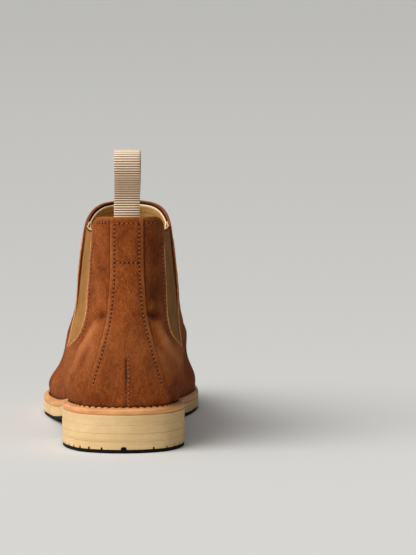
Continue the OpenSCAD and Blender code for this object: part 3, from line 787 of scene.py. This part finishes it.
def strip_inner(s, f):
    t, w, raw, x, half = strip_lay(s, f)
    return skin(t, w, np.minimum(strip_rise(raw) - 1.2, 0.05) + suede_relief(t, w))


def strip_wear_and_painted_light(s, f):
    t, w, raw, x, half = strip_lay(s, f)
    # Paler along the strip's edges and topline; painted highlight over the ankle; painted shade along
    # the welt and in the centre seam's groove at the foot.
    out = 0.5 * np.exp(-(half - np.abs(x))) * np.clip((raw - 0.2) / 0.2, 0, 1)
    out += 0.45 * np.clip((f - 0.985) / 0.015, 0, 1)
    out += 0.7 * painted_ankle_highlight(place(t, w)) - painted_welt_shade(raw)
    return out - 0.8 * np.exp(-((x - HEEL_SEAM) / 0.45) ** 2) * np.clip((0.3 - raw) / 0.03, 0, 1)


backstay = leather("backstay_suede", 72, 190, strip_outer, strip_inner, suede, strip_wear_and_painted_light)
settled(soften(backstay, 0.3), "backstay")


def gore(side, name):
    """One elastic gore, sagging a little between its edges and swelling out at its foot."""
    def lay(s, f):
        t = np.interp(f, [0, 0.08, 0.3, 0.5, 0.94, 1], [0.275, 0.32, 0.37, 0.5, 0.96, 1.0])
        spread = smooth([[0.275, 5], [0.285, 11], [0.3, 18], [0.33, 24], [0.37, 28.5],
                         [0.42, 30], [0.5, 29.4], [0.6, 28], [0.7, 27], [1, 27]], t)[..., 1]
        w = way_at(t, 57 + (2 * s - 1) * spread)
        return settle(t, -side * w, 0.002), -side * w, t

    def outer(s, f):
        t, w, raw = lay(s, f)
        p = place(t, w)
        sag = 0.5 * np.exp(-((p[:, 1] - 60) / 14) ** 2) * np.clip((raw - 0.5) / 0.2, 0, 1)
        inside = np.minimum(p[:, 1] - smooth(GORE, raw)[..., 1],
                            smooth(GORE, raw)[..., 2] - p[:, 1])
        swell = 1.6 * np.clip(inside / 3.0, 0, 1) ** 0.8
        swell *= np.clip((raw - 0.326) / 0.012, 0, 1) * np.clip((0.72 - raw) / 0.25, 0, 1)
        return skin(t, w, -SUEDE - 0.25 - sag + swell)

    def wear_and_painted_light(s, f):
        # Pale hem at the top; painted shadow just under it; painted shade over the whole inner gore.
        return np.where(f > 0.988, 1.0, np.where(f > 0.975, -0.8, -0.42 if side > 0 else 0.0))

    def inner(s, f):
        t, w, raw = lay(s, f)
        p = place(t, w)
        sag = 0.5 * np.exp(-((p[:, 1] - 60) / 14) ** 2) * np.clip((raw - 0.3) / 0.2, 0, 1)
        return skin(t, w, -SUEDE - 1.35 - 0.6 * sag)

    piece = soften(leather(name + "_knit", 90, 160, outer, inner, elastic, wear_and_painted_light), 0.3)
    settled(piece, name)


gore(-1, "gore_lateral")
gore(1, "gore_medial")


def gore_edge(side, name):
    """The pale raw edge of the suede showing all round a gore's opening."""
    down = np.linspace(0.905, 0.34, 150)
    foot = np.linspace(0.338, 0.3255, 26)
    levels = np.concatenate([down, foot, foot[::-1], down[::-1]])
    half, last, sides = len(levels) // 2, len(levels) - 1, 8
    back = seam_y(levels[:half], 1) + 0.25
    front = seam_y(levels[half:], 2) - 0.25
    w = -side * way_at(levels, np.concatenate([back, front]))
    path = skin(settle(levels, w), w, -0.25)
    n = outward(levels, w)
    along = np.gradient(path, axis=0)
    along /= np.linalg.norm(along, axis=1, keepdims=True)
    across = np.cross(n, along)
    bm = bmesh.new()
    bmesh.ops.create_grid(bm, x_segments=last, y_segments=sides, size=0.5)
    flat = np.array([v.co[:2] for v in bm.verts]) + 0.5
    i = np.rint(flat[:, 0] * last).astype(int)
    a = np.rint(flat[:, 1] * sides) % sides * np.pi / 4
    thin = np.minimum(1, np.minimum(i, last - i) / 6)[:, None]
    placed = to_frame(path[i] + thin * (np.cos(a)[:, None] * n[i] * 0.5
                                        + np.sin(a)[:, None] * across[i] * 0.42))
    for k, v in enumerate(bm.verts):
        v.co = placed[k]
    bmesh.ops.remove_doubles(bm, verts=bm.verts[:], dist=1e-7)
    bmesh.ops.recalc_face_normals(bm, faces=bm.faces[:])
    finish(name, bm, suede_edge)


gore_edge(-1, "gore_raw_edge_lateral")
gore_edge(1, "gore_raw_edge_medial")


def hug(t, w, raw):
    """The lining lies close to the suede round the front of the topline."""
    y = place(t, w)[:, 1]
    return GAP - 1.35 * np.clip((y - 85) / 6, 0, 1) * np.clip((raw - 0.74) / 0.16, 0, 1)


def lining(name, node, turn, columns):
    """A lining: turn is true for the one that runs round the heel."""
    def lay(s, f):
        t = np.interp(f, [0, 0.9, 1], [0.02, 0.95, 1.0])
        y = np.interp(np.minimum(t / 0.35, 1), [0, 1], [100, 61]) - (0.5 if turn else 0)
        end = way_at(t, y)
        w = -end + s * 2 * end if turn else end + s * (2 - 2 * end)
        return settle(t, w, 0.005 if turn else 0.009), w, t

    def outer(s, f):
        t, w, raw = lay(s, f)
        return skin(t, w, -SUEDE - hug(t, w, raw))

    def inner(s, f):
        t, w, raw = lay(s, f)
        return skin(t, w, -SUEDE - hug(t, w, raw) - LINING)

    def wear_and_painted_light(s, f):
        return np.clip((f - 0.975) / 0.012, 0, 1)

    piece = leather(name, columns, 80, outer, inner, lining_leather, wear_and_painted_light)
    settled(soften(piece, 0.3), node)


lining("vamp_lining_leather", "vamp_lining", False, 150)
lining("quarter_lining_leather", "quarter_lining", True, 90)


def footbed():
    """The padded leather-covered bed under the foot."""
    def lay(s, f, rise):
        u = 0.01 + 0.98 * (0.5 - 0.5 * np.cos(np.pi * f))
        a, b = skin(0 * u, u, -5.8), skin(0 * u, 2 - u, -5.8)
        p = a + (b - a) * s[:, None]
        p[:, 2] = feather(p[:, 1]) + rise
        return p

    def outer(s, f):
        round_off = 1.3 * np.abs(2 * s - 1) ** 8 + 1.3 * np.abs(2 * f - 1) ** 30
        return lay(s, f, 3.42 - np.minimum(round_off, 1.6))

    def inner(s, f):
        return lay(s, f, 0.2)

    leather_top = make_plain("footbed_leather", srgb(206, 152, 88), srgb(224, 176, 108), 0.6, 60)
    piece = soften(leather("footbed_pad", 40, 120, outer, inner, leather_top), 0.3)
    settled(piece, "footbed")


footbed()


# Thread

def sew(name, rows, node, thread, hole, pitch=2.7, thick=0.85, rise=0.16,
        hole_size=0.7):
    """Sews stitches along rows of (points, normals), with the needle holes between them as near-black
    marks of painted shade.
    """
    bm = bmesh.new()
    to_metres = Matrix.Scale(0.001, 4)
    for points, normals in rows:
        step = np.linalg.norm(np.diff(points, axis=0), axis=1)
        run = np.concatenate([[0], np.cumsum(step)])

        def read(rows_of, at):
            return np.array([np.interp(at, run, rows_of[:, c]) for c in range(3)])

        count = max(int(run[-1] / pitch), 1)
        for k in range(count):
            at = (k + 0.5) * run[-1] / count
            p = read(points, at)
            n = Vector(read(normals, at)).normalized()
            along = Vector(read(points, at + 0.5) - read(points, at - 0.5)).normalized()
            side = n.cross(along).normalized()
            n = along.cross(side).normalized()
            turn = Matrix((along, side, n)).transposed().to_4x4()
            tilt = Matrix.Rotation(random.uniform(-0.06, 0.06), 4, "Z")
            stitch = Matrix.Diagonal((pitch * 0.36, thick / 2, thick * 0.42, 1))
            spot = Matrix.Translation(to_frame(p) + np.array(n) * rise * 0.001)
            bmesh.ops.create_uvsphere(bm, u_segments=8, v_segments=5, radius=1,
                                      matrix=spot @ turn @ tilt @ to_metres @ stitch)
            if hole:
                dent = Matrix.Diagonal((hole_size * 0.8, hole_size, 0.2, 1))
                end = p + np.array(along) * pitch * 0.5
                spot = Matrix.Translation(to_frame(end) + np.array(n) * (rise - 0.12) * 0.001)
                mark = len(bm.faces)
                bmesh.ops.create_uvsphere(bm, u_segments=8, v_segments=4, radius=1,
                                          matrix=spot @ turn @ to_metres @ dent)
                bm.faces.ensure_lookup_table()
                for face in bm.faces[mark:]:
                    face.material_index = 1
    piece = finish(name, bm, [thread, hole] if hole else [thread])
    if node:
        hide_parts(node)


def sew_brown(name, rows, node):
    sew(name, rows, node, brown_thread, dark_hole)


def row_on(t, w, d):
    return skin(t, w, d), outward(t, w)


def strip_row(t, x, lift=0.0):
    """A row on the backstay, x from its middle."""
    w = way_across(t, x)
    raised = strip_rise(t) + suede_relief(settle(t, w), w)
    return row_on(settle(t, w), w, raised - 0.3 + lift)


up = np.linspace(0.125, 0.965, 120)
strip_rows = [strip_row(up, side * (smooth(STRIP, up)[..., 1] - STRIP_ROW)) for side in (-1, 1)]
hold = np.full(12, HOLD_ROW)
strip_rows.append(row_on(hold, way_across(hold, np.linspace(-6.6, 6.6, 12)),
                         strip_rise(hold) - 0.25))
sew_brown("backstay_rows", strip_rows, "backstay_stitching")

heel = np.linspace(0.01, 0.3, 40)
sew("heel_seam_row_outer", [strip_row(heel, np.full(40, HEEL_SEAM), -0.25)], None, dark_thread,
    dark_hole)
sew("heel_seam_row_inner", [strip_row(heel, np.full(40, 0.75), 0.42)],
    "heel_seam_stitching", brown_thread, dark_hole, hole_size=0.45)

gore_rows, side_rows, top_rows = [], [], []
for side in (-1, 1):
    t = np.concatenate([np.linspace(0.33, 0.38, 24), np.linspace(0.385, 0.87, 80)])
    w = -side * way_at(t, seam_y(t, 1) - PANEL_ROW)
    gore_rows.append(row_on(settle(t, w), w, suede_relief(t, w) - 0.28))
    w = -side * way_at(t, seam_y(t, 2) + PANEL_ROW)
    gore_rows.append(row_on(settle(t, w), w, -0.25 + 0 * t))
    t = np.linspace(0.02, 0.318, 60)
    w = -side * way_at(t, seam_y(t, 1) - PANEL_ROW)
    side_rows.append(row_on(t, w, suede_relief(t, w) - 0.28))
    t = np.full(12, TOP_ROW)
    w = way_across(t, side * np.linspace(11.6, 19.4, 12))
    top_rows.append(row_on(settle(t, w), w, suede_relief(t, w) - 0.22))
t = np.full(16, TOP_ROW)
top_rows.append(row_on(t, way_across(t, np.linspace(-7.2, 7.2, 16)), strip_rise(t) - 0.2))
w = np.linspace(0.55, 1.45, 76)
top_rows.append(row_on(top_level(w) - 0.022, w, -0.2 + 0 * w))
sew_brown("gore_rows", gore_rows, "gore_stitching")
sew_brown("side_seam_rows", side_rows, "side_seam_stitching")
sew_brown("topline_rows", top_rows, "topline_stitching")

w = np.linspace(0.5, 1.5, 90)
t = top_level(w) - 0.042
seat = skin(t, w, -SUEDE - hug(t, w, np.ones(90)) - LINING + 0.1)
sew("lining_rows", [(seat, -outward(t, w))], None, lining_thread, dark_hole,
    pitch=2.4, thick=0.7)


# Sole

def axis_of(p):
    y = np.clip(p[..., 1], 34, 262)
    return np.stack([y / 60, y], -1)


def inset(p, d):
    """Moves points of the sole's edge inwards by d millimetres."""
    c = axis_of(p)
    far = np.linalg.norm(p - c, axis=-1, keepdims=True)
    return p + (c - p) / np.maximum(far, 1e-6) * np.asarray(d)[..., None]


def run_of(w):
    """Distance along the sole's edge at each way w, from the first one."""
    return np.concatenate([[0], np.cumsum(np.linalg.norm(np.diff(outline(w), axis=0), axis=1))])


def even_ways(count, start=0.0, stop=2.0):
    w = np.linspace(start, stop, 4001)
    run = run_of(w)
    return np.interp(np.linspace(0, run[-1], count, endpoint=stop < 2.0), run, w)


EDGE_W = np.linspace(0, 2, 8001)
EDGE_RUN = run_of(EDGE_W)
SOLE = -WELT - MIDSOLE
rim_ways = even_ways(420)


def notch_ways(centres, width, base):
    """Stations at the base and at the edges and inside of each notch, and the notches' height."""
    length = EDGE_RUN[-1]
    inside = np.array([-1.08, -1.0, -0.85, -0.6, -0.3, 0, 0.3, 0.6, 0.85, 1.0, 1.08])
    extra = np.concatenate([c + half * inside for c, half in zip(centres, width)])
    marks = np.interp(extra % length, EDGE_RUN, EDGE_W)
    ways = np.unique(np.round(np.concatenate([base, marks]), 7))

    def depth(w):
        s = np.interp(np.asarray(w) % 2, EDGE_W, EDGE_RUN)
        out = np.zeros(len(s))
        for c, half in zip(centres, width):
            away = np.abs((s - c + length / 2) % length - length / 2) / half
            tall = 1.9 if half > 1.4 else 1.5
            out = np.maximum(out, tall * np.sqrt(np.clip(1 - away ** 2, 0, 1)) ** 0.6)
        return out

    return ways, depth


def sole_layer(name, node, edge, middle, steps, material):
    """A layer of the sole: each step is how far in from the edge and how high; None is the middle."""
    far = np.linalg.norm(edge - middle, axis=1, keepdims=True)
    rings = []
    for d, height in steps:
        p = middle if d is None else edge + (middle - edge) / far * d
        rings.append(np.concatenate([p, height[:, None]], 1))
    settled(ring(name, np.stack(rings, 1), material), node)


def midsole(ways, notch):
    edge = outline(ways)
    zt = feather(edge[:, 1]) - WELT
    zb = feather(edge[:, 1]) + SOLE
    nick = notch(ways)
    steps = [(None, zt), (14, zt), (0.16, zt), (0.03, zt - 0.05), (0, zt - 0.18), (0, zt - 0.4),
             (0, (zt + zb) / 2), (0, zb + 0.3 + nick), (0, zb + 0.14 + nick), (0.1, zb + nick),
             (2.6, zb + nick), (2.7, zb), (14, zb), (None, zb)]
    sole_layer("midsole_cream", "midsole", edge, axis_of(edge), steps, cream)


waist = np.interp(86, ALL_Y, ALL_U)
front_from, front_to = np.interp([waist, 2 - waist], EDGE_W, EDGE_RUN)
front_notches = np.arange(front_from + 4, front_to - 4, 10.0)
midsole(*notch_ways(front_notches, np.full(len(front_notches), 1.0), rim_ways))

heel_u = np.interp(HEEL_LENGTH, ALL_Y, ALL_U)
heel_base = even_ways(150, 2 - heel_u, 2 + heel_u - 1e-9)


def heel_outline(w):
    """The heel's edge as a closed loop: round the back, then straight across the breast."""
    o = outline(w)
    t = np.linspace(0, 1, 26)[1:-1]
    a, b = o[-1], o[0]
    breast = a + (b - a) * t[:, None]
    breast[:, 1] -= 3.0 * np.sin(np.pi * t)
    return np.concatenate([o, breast])


def heel_layer(name, node, ways, top, bottom, proud, material, nick=0.0):
    """One layer of the heel: top and bottom are heights, and top may be a function of y."""
    edge = heel_outline(ways)
    cut = np.zeros(len(edge))
    cut[:len(ways)] = nick
    middle = np.tile([0.0, 44.0], (len(edge), 1))
    zt = top(edge[:, 1]) if callable(top) else np.full(len(edge), top)
    zb = np.full(len(edge), float(bottom))
    steps = [(None, zt), (10, zt), (0.34 - proud, zt), (0.08 - proud, zt - 0.08),
             (-proud, zt - 0.2), (-proud, zt - 0.34), (-proud, (zt + zb) / 2),
             (-proud, zb + 0.34 + cut), (-proud, zb + 0.2 + cut),
             (0.08 - proud, zb + 0.08 + cut), (0.3 - proud, zb + cut), (2.6, zb + cut),
             (2.7, zb), (10, zb), (None, zb)]
    sole_layer(name, node, edge, middle, steps, material)


def under_midsole(y):
    return feather(np.minimum(y, HEEL_LENGTH)) + SOLE - 0.02


heel_layer("heel_wedge_cream", "heel_wedge", heel_base, under_midsole, WEDGE + 0.01, 0.08,
           cream)
heel_layer("heel_lift_upper_cream", "heel_lift_upper", heel_base, WEDGE, LIFT_TOP + 0.01, 0.04,
           cream)
# Where the heel's notches are, as directions from the middle of the heel, in degrees
near_w = np.linspace(-0.45, 0.45, 1201)
near_p = outline(near_w)
near_turn = np.arctan2(near_p[:, 0], 40 - near_p[:, 1])
turns = np.radians([-74, -63, -53, -43.6, -33.4, -20.8, 0, 28.7, 43.3, 55, 65, 75])
heel_notches = np.interp(np.interp(turns, near_turn[::-1], near_w[::-1]) % 2, EDGE_W, EDGE_RUN)
halves = np.where(turns == 0, 2.0, 0.8)
heel_ways, heel_depth = notch_ways(heel_notches, halves, np.array([]))
raw = np.where(heel_ways < 1, heel_ways + 2, heel_ways)
raw = raw[(raw > 2 - heel_u) & (raw < 2 + heel_u)]
heel_ways = np.unique(np.round(np.concatenate([heel_base, raw]), 7))
heel_layer("heel_lift_lower_cream", "heel_lift_lower", heel_ways, LIFT_TOP, TREAD, 0.06, cream,
           heel_depth(heel_ways))
heel_layer("heel_tread_black", "heel_tread", heel_base, TREAD, 0.0, -0.35, black)


def front_tread():
    """The black tread under the forefoot, from behind the arch to the toe."""
    start = np.interp(78, ALL_Y, ALL_U)
    us = np.concatenate([[start], rim_ways[(rim_ways > start) & (rim_ways < 2 - start)],
                         [2 - start]])
    edge = outline(us)
    t = np.linspace(0, 1, 22)[1:-1]
    back = edge[-1] + (edge[0] - edge[-1]) * t[:, None]
    back[:, 1] += 4.0 * np.sin(np.pi * t)
    edge = np.concatenate([edge, back])
    y = np.clip(edge[:, 1], 110, 262)
    z = feather(edge[:, 1])
    zt = z + SOLE - 0.02
    zb = np.maximum(z + SOLE - TREAD - 0.12, 0)
    steps = [(None, zt), (10, zt), (0.6, zt), (0.5, zt - 0.2), (0.45, (zt + zb) / 2),
             (0.5, zb + 0.3), (0.9, zb), (10, zb), (None, zb)]
    sole_layer("forefoot_tread_black", "forefoot_tread", edge, np.stack([y / 60, y], 1), steps,
               black)


front_tread()


def lugs(name, spots):
    """Small blocks of tread standing in the notches."""
    bm = bmesh.new()
    for p, z, size in spots:
        c = np.array([p[0] * 0.1, np.clip(p[1], 40, 262)])
        inward = (c - p) / np.linalg.norm(c - p)
        mid = p + inward * (size[0] / 2 + 0.9)
        turn = Matrix.Rotation(math.atan2(inward[1], inward[0]), 4, "Z")
        at = Matrix.Translation(to_frame(np.array([mid[0], mid[1], z + size[2] / 2])))
        grow = Matrix.Diagonal((size[0] * 0.001, size[1] * 0.001, size[2] * 0.001, 1))
        bmesh.ops.create_cube(bm, size=1, matrix=at @ turn @ grow)
    bmesh.ops.bevel(bm, geom=bm.edges[:], offset=0.0002, segments=2, profile=0.5,
                    affect="EDGES", material=-1)
    finish(name, bm, black)


spots = []
for run, half in zip(heel_notches, halves):
    p = outline(np.interp(run, EDGE_RUN, EDGE_W))
    if p[1] < HEEL_LENGTH - 3:
        spots.append((p, TREAD - 0.3, (1.6, 2 * half - 0.4, 1.7)))
for s in front_notches:
    p = outline(np.interp(s, EDGE_RUN, EDGE_W))
    spots.append((p, float(feather(p[1])) + SOLE - 0.3, (1.6, 1.1, 1.5)))
lugs("tread_lugs", spots)


WAVE = 4.6      # pitch of the welt's stitches and of the bumps between them


def welt_points(w):
    """The welt's section at each station, puckered between the stitches."""
    edge = outline(w)
    z = feather(edge[:, 1])
    inner = skin(np.zeros(len(w)), w, 0.12)[:, :2]
    run = np.interp(w % 2, EDGE_W, EDGE_RUN)
    wave = 0.22 * np.cos(2 * np.pi * run / WAVE)

    def at(f, d):
        p = inner + (edge - inner) * f
        return inset(p, d) if d else p

    rows = [(inner, z - WELT + 0.05), (inner, z - 1.3), (at(0.12, 0), z - 0.7),
            (at(0.2, 0), z + 0.1 + wave * 0.5), (at(0.32, 0), z + 0.3 + wave),
            (at(0.46, 0), z + 0.05), (at(0.75, 0), z - 0.05), (inset(edge, 1.1), z - 0.18),
            (inset(edge, 0.5), z - 0.55), (inset(edge, 0.12), z - 1.1),
            (inset(edge, -0.02), z - 1.9), (inset(edge, 0.1), z - 2.8),
            (inset(edge, 0.4), z - 3.5), (inset(edge, 0.8), z - WELT + 0.05)]
    return np.stack([np.concatenate([p, h[:, None]], 1) for p, h in rows]
                    + [np.concatenate([inner, (z - WELT + 0.05)[:, None]], 1)], 1)


fine_ways = even_ways(900)
settled(ring("welt_leather_band", welt_points(fine_ways), welt_leather), "welt")

loop_ways = np.concatenate([fine_ways, [2.0]])
o = outline(loop_ways)
inner = skin(np.zeros(len(loop_ways)), loop_ways, 0.12)[:, :2]
path = np.concatenate([inner + (o - inner) * 0.3, (feather(o[:, 1]) + 0.2)[:, None]], 1)
upward = np.tile([0.0, 0.0, 1.0], (len(path), 1))
sew("welt_rows", [(path, upward)], "welt_stitching", pale_thread, None,
    pitch=WAVE, thick=1.1, rise=0.2)


# Pull tab: one folded length of webbing sewn into the back

tab_low, tab_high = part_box("pull_tab_loop")
WIDE = (tab_high.x - tab_low.x) * 1000
TAB_TOP = tab_high.z * 1000
TAB_X = (tab_low.x + tab_high.x) * 500 - SHIFT[0]
TAB_Y = 14.5 + SUEDE + GAP / 2      # middle of the loop, in the space behind the suede
PIVOT = 154.5                       # height at which the loop starts to bend
PLY = 0.85                          # thickness of the webbing
RADIUS = 7.5                        # half the loop's depth
RIB = 1.58                          # pitch of the ribs


def tab_path():
    """Side view of the webbing: up, over the loop and down again."""
    neck, middle = PIVOT + 8, TAB_TOP - RADIUS
    r = RADIUS - PLY / 2
    back = [(-PLY / 2, z) for z in np.linspace(121, neck, 60)]
    f = np.linspace(0, 1, 50)[1:]
    k = f * f * (3 - 2 * f)
    back += list(zip(-(PLY / 2 + (r - PLY / 2) * k), neck + (middle - neck) * f))
    a = np.linspace(0, np.pi, 60)[1:]
    top = list(zip(-r * np.cos(a), middle + r * np.sin(a)))
    front = [(-y, z) for y, z in back[::-1]][1:]
    return np.array(back + top + front)


def make_tab():
    """The webbing, ribbed across, sewn in below and curled to the heel where it is held."""
    path = tab_path()
    run = np.concatenate([[0], np.cumsum(np.linalg.norm(np.diff(path, axis=0), axis=1))])
    count = int(run[-1] / 0.2)
    s = np.linspace(0, run[-1], count)
    y, z = np.interp(s, run, path[:, 0]), np.interp(s, run, path[:, 1])
    ty, tz = np.gradient(y), np.gradient(z)
    size = np.hypot(ty, tz)
    ny, nz = -tz / size, ty / size
    rib = np.cos(2 * np.pi * s / RIB)
    show = np.interp(z, [150, 166, 170, 178, 182, TAB_TOP - 3, TAB_TOP],
                     [1, 1, 0.55, 0.55, 1, 0.7, 0.15])
    half, thin = WIDE / 2 - 0.15, PLY / 2 - 0.03
    across = [(-half + 0.35, 1), (-half * 0.5, 1), (0, 1), (half * 0.5, 1), (half - 0.35, 1),
              (half - 0.1, 0.7), (half, 0), (half - 0.1, -0.7), (half - 0.35, -1),
              (half * 0.5, -1), (0, -1), (-half * 0.5, -1), (-half + 0.35, -1),
              (-half + 0.1, -0.7), (-half, 0), (-half + 0.1, 0.7)]
    bm = bmesh.new()
    m = len(across)
    bmesh.ops.create_grid(bm, x_segments=count - 1, y_segments=m, size=0.5)
    flat = np.array([v.co[:2] for v in bm.verts]) + 0.5
    i = np.rint(flat[:, 0] * (count - 1)).astype(int)
    j = np.rint(flat[:, 1] * m).astype(int) % m
    a = np.array(across)[j]
    curl = np.clip((PIVOT + 10 - z[i]) / 8, 0, 1)
    bend = (np.abs(a[:, 0]) / 28.5) ** 2.2 * 17.0 * curl
    lean = np.clip((152.5 - z[i]) / 21, 0, 1)
    shift = 0.06 * (y[i] + RADIUS) * np.clip((z[i] - 160) / 15, 0, 1)
    wide = shift + a[:, 0] * (1 + 0.008 * rib[i] * (np.abs(a[:, 0]) > half - 0.5))
    thick = thin * a[:, 1] * (1 + 0.48 * rib[i] * show[i])
    points = np.stack([TAB_X + wide, TAB_Y + lean + bend + y[i] + ny[i] * thick,
                       z[i] + nz[i] * thick], 1)
    placed = to_frame(points)
    wear_and_light = bm.verts.layers.float.new("wear_and_painted_light")
    for k, v in enumerate(bm.verts):
        v.co = placed[k]
        # The rib values carry the painted shade of the webbing's rib valleys.
        v[wear_and_light] = rib[i[k]] * show[i[k]] + 0.35 * (1 - show[i[k]])
    bmesh.ops.remove_doubles(bm, verts=bm.verts[:], dist=1e-7)
    bmesh.ops.holes_fill(bm, edges=[e for e in bm.edges if e.is_boundary], sides=0)
    bmesh.ops.recalc_face_normals(bm, faces=bm.faces[:])
    piece = finish("pull_tab_webbing", bm, webbing, None)
    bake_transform(piece)
    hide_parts("pull_tab_anchor", "pull_tab_loop")


make_tab()

# Inside pieces keep their shapes and get their real finishes
inside = {
    "insole_board": make_plain("insole_fibre", srgb(186, 160, 118), srgb(206, 182, 142), 0.9, 200),
    "cork_filler": make_plain("ground_cork", srgb(126, 82, 46), srgb(176, 128, 80), 0.9, 500),
    "shank": make_plain("shank_steel", srgb(130, 130, 134), srgb(160, 160, 164), 0.35, 300),
    "toe_puff": make_plain("toe_puff_fibre", srgb(206, 196, 172), srgb(224, 216, 196), 0.85, 300),
    "heel_counter": make_plain("counter_fibre", srgb(150, 110, 70), srgb(172, 132, 90), 0.85, 300),
}
for node, finish_of in inside.items():
    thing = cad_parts[node]
    if not thing.data.materials:
        thing.data.materials.append(finish_of)
    for slot in thing.material_slots:
        slot.material = finish_of

# Floor, light and camera


def make_floor():
    """A pale floor with painted shade: its tone darkens towards the back and rises towards the front.
    """
    f = Finish("studio_floor", 0.9, 0.1)
    away = f.nodes.new("ShaderNodeSeparateXYZ")
    f.links.new(f.place, away.inputs[0])
    depth = f.math("ADD", away.outputs[1], 2.2)
    share = f.math("DIVIDE", 2.2, f.math("MAXIMUM", depth, 1.2))
    tones = [(0.12, 190), (0.29, 197), (0.45, 201), (0.58, 205), (0.68, 208), (0.83, 214),
             (0.92, 217)]
    f.colour(f.ramp(f.math("MULTIPLY", share, 0.833),
                    [(at, srgb(tone, tone - 0.7, tone - 3.5)) for at, tone in tones]))
    return f.material


bm = bmesh.new()
bmesh.ops.create_grid(bm, x_segments=1, y_segments=1, size=60)
finish("studio_floor", bm, make_floor(), None)

world = bpy.data.worlds.new("studio")
bpy.context.scene.world = world
world.use_nodes = True
tree = world.node_tree
direction = tree.nodes.new("ShaderNodeTexCoord")
across = tree.nodes.new("ShaderNodeSeparateXYZ")
tree.links.new(direction.outputs["Generated"], across.inputs[0])
sky = tree.nodes.new("ShaderNodeMapRange")
for name, value in (("From Min", -0.6), ("From Max", 0.7), ("To Min", 0.28), ("To Max", 0.03)):
    sky.inputs[name].default_value = value
tree.links.new(across.outputs[0], sky.inputs["Value"])
tree.links.new(sky.outputs["Result"], tree.nodes["Background"].inputs["Strength"])
tree.nodes["Background"].inputs["Color"].default_value = srgb(236, 236, 237)


def sun(name, energy, at, spread, colour=(1, 1, 1)):
    """A soft distant light shining from at towards the boot."""
    data = bpy.data.lights.new(name, "SUN")
    data.energy = energy
    data.color = colour
    data.angle = math.radians(spread)
    light = bpy.data.objects.new(name, data)
    light.location = at
    light.rotation_euler = (-Vector(at)).to_track_quat("-Z", "Y").to_euler()
    bpy.context.scene.collection.objects.link(light)


sun("key", 2.35, (-1.42, -0.95, 1.6), 54, (1.0, 0.995, 0.985))
sun("fill", 1.2, (-0.5, -0.8, 2.0), 90)

camera_data = bpy.data.cameras.new("camera")
camera_data.lens = 222.6
camera_data.sensor_width = 36
camera_data.clip_end = 200
camera = bpy.data.objects.new("camera", camera_data)
turn_out, pitch = math.radians(1.5), math.radians(5.54)
cx, cy = 54.5, -2200.0
spot = np.array([cx * math.cos(turn_out) + cy * math.sin(turn_out),
                 -cx * math.sin(turn_out) + cy * math.cos(turn_out), 328.0])
camera.location = to_frame(spot)
look = Vector((math.sin(turn_out) * math.cos(pitch), math.cos(turn_out) * math.cos(pitch),
               -math.sin(pitch)))
camera.rotation_euler = look.to_track_quat("-Z", "Y").to_euler()
bpy.context.scene.collection.objects.link(camera)
bpy.context.scene.camera = camera
bpy.context.scene.view_settings.view_transform = "Standard"
